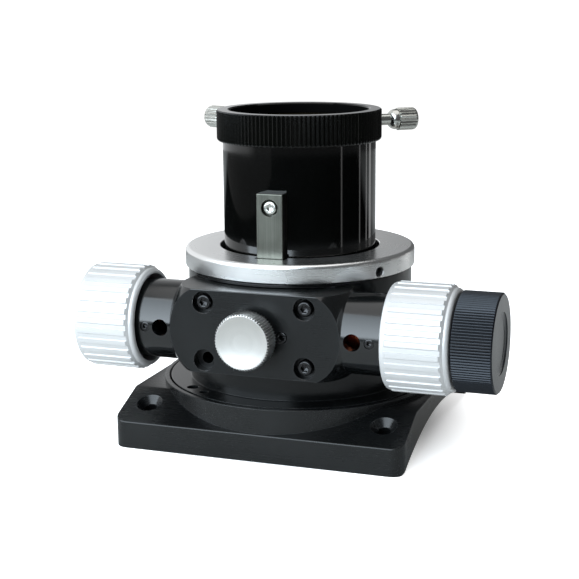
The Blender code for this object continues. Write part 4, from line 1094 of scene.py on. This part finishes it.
def softbox(name, at, target, width, height, radiance, color=(1, 1, 1), top=1.0):
    """An area light whose face has the given brightness at its foot, fading to a share at its top."""
    data = bpy.data.lights.new(name, "AREA")
    data.shape = "RECTANGLE"
    data.size = width
    data.size_y = height
    data.energy = radiance * pi * width * height
    data.color = color
    light = bpy.data.objects.new(name, data)
    bpy.context.scene.collection.objects.link(light)
    light.location = at
    light.rotation_euler = (Vector(target) - Vector(at)).to_track_quat("-Z", "Y").to_euler()
    light.visible_camera = False
    data.use_nodes = True
    nodes, links = data.node_tree.nodes, data.node_tree.links
    place = nodes.new("ShaderNodeSeparateXYZ")
    links.new(nodes.new("ShaderNodeNewGeometry").outputs["Parametric"], place.inputs[0])
    level = nodes.new("ShaderNodeMapRange")
    level.inputs["To Min"].default_value = 1.0
    level.inputs["To Max"].default_value = top
    links.new(place.outputs[1], level.inputs["Value"])
    links.new(level.outputs["Result"], nodes["Emission"].inputs["Strength"])


def build_lights():
    """A large softbox in front, its lower edge level with the axle, and thin strips at right."""
    softbox("front_box", around(radians(-28), 0.9, 0.575), (0, 0, 0.06), 1.5, 1.2, 7.4,
            (0.80, 0.91, 1.0), top=0.42)
    softbox("left_card", around(radians(-70), 0.5, 0.06), (0, 0, 0.06), 1.1, 0.12, 0.10)
    softbox("ceiling_box", (0, 0, 1.1), (0, 0, 0), 1.1, 1.1, 1.3)
    strips = ((81.5, 12 * MM), (116.8, 12 * MM), (134.3, 16 * MM), (146.0, 36 * MM))
    for k, (bearing, width) in enumerate(strips):
        at = around(radians(bearing), 0.3, 0.064)
        softbox(f"strip_light_{k + 1}", at, (0, 0, 0.05), width, 0.12, 1.1)


CAMERA_AT = (0.1626, -0.4700, 0.1607)
CAMERA_YAW = radians(19.55)
CAMERA_PITCH = radians(-12.5)
CAMERA_ROLL = radians(-0.52)
CAMERA_LENS = 84.54


def build_camera():
    data = bpy.data.cameras.new("studio_camera")
    data.lens = CAMERA_LENS
    data.sensor_width = 36
    data.clip_start = 0.01
    camera = bpy.data.objects.new("studio_camera", data)
    bpy.context.scene.collection.objects.link(camera)
    forward = Vector((-sin(CAMERA_YAW) * cos(CAMERA_PITCH), cos(CAMERA_YAW) * cos(CAMERA_PITCH),
                      sin(CAMERA_PITCH)))
    right = Vector((cos(CAMERA_YAW), sin(CAMERA_YAW), 0))
    up = right.cross(forward)
    level = Matrix((right, up, -forward)).transposed().to_4x4()
    camera.matrix_world = (Matrix.Translation(CAMERA_AT) @ level
                           @ Matrix.Rotation(CAMERA_ROLL, 4, "Z"))
    bpy.context.scene.camera = camera


def build_scene():
    build_camera()
    finish = make_finishes()
    build_base(finish)
    build_body(finish)
    build_top_ring(finish)
    build_bearings(finish)
    build_housing(finish)
    build_lock(finish)
    build_screws(finish)
    coarse_knob("coarse_knob_left", "fluted_knob_left", False, 3.2 * MM, finish)
    coarse_knob("coarse_knob_right", "fluted_knob_right", True, 4.7 * MM, finish)
    build_fine_knob(finish)
    build_sleeve(finish)
    build_drawtube(finish)
    build_rail(finish)
    build_collar(finish)
    build_clamp_ring(finish)
    build_clamp_screws(finish)
    refinish_hidden_nodes(finish)
    build_floor()
    build_world()
    build_lights()
    bpy.context.scene.view_settings.view_transform = "Standard"


build_scene()
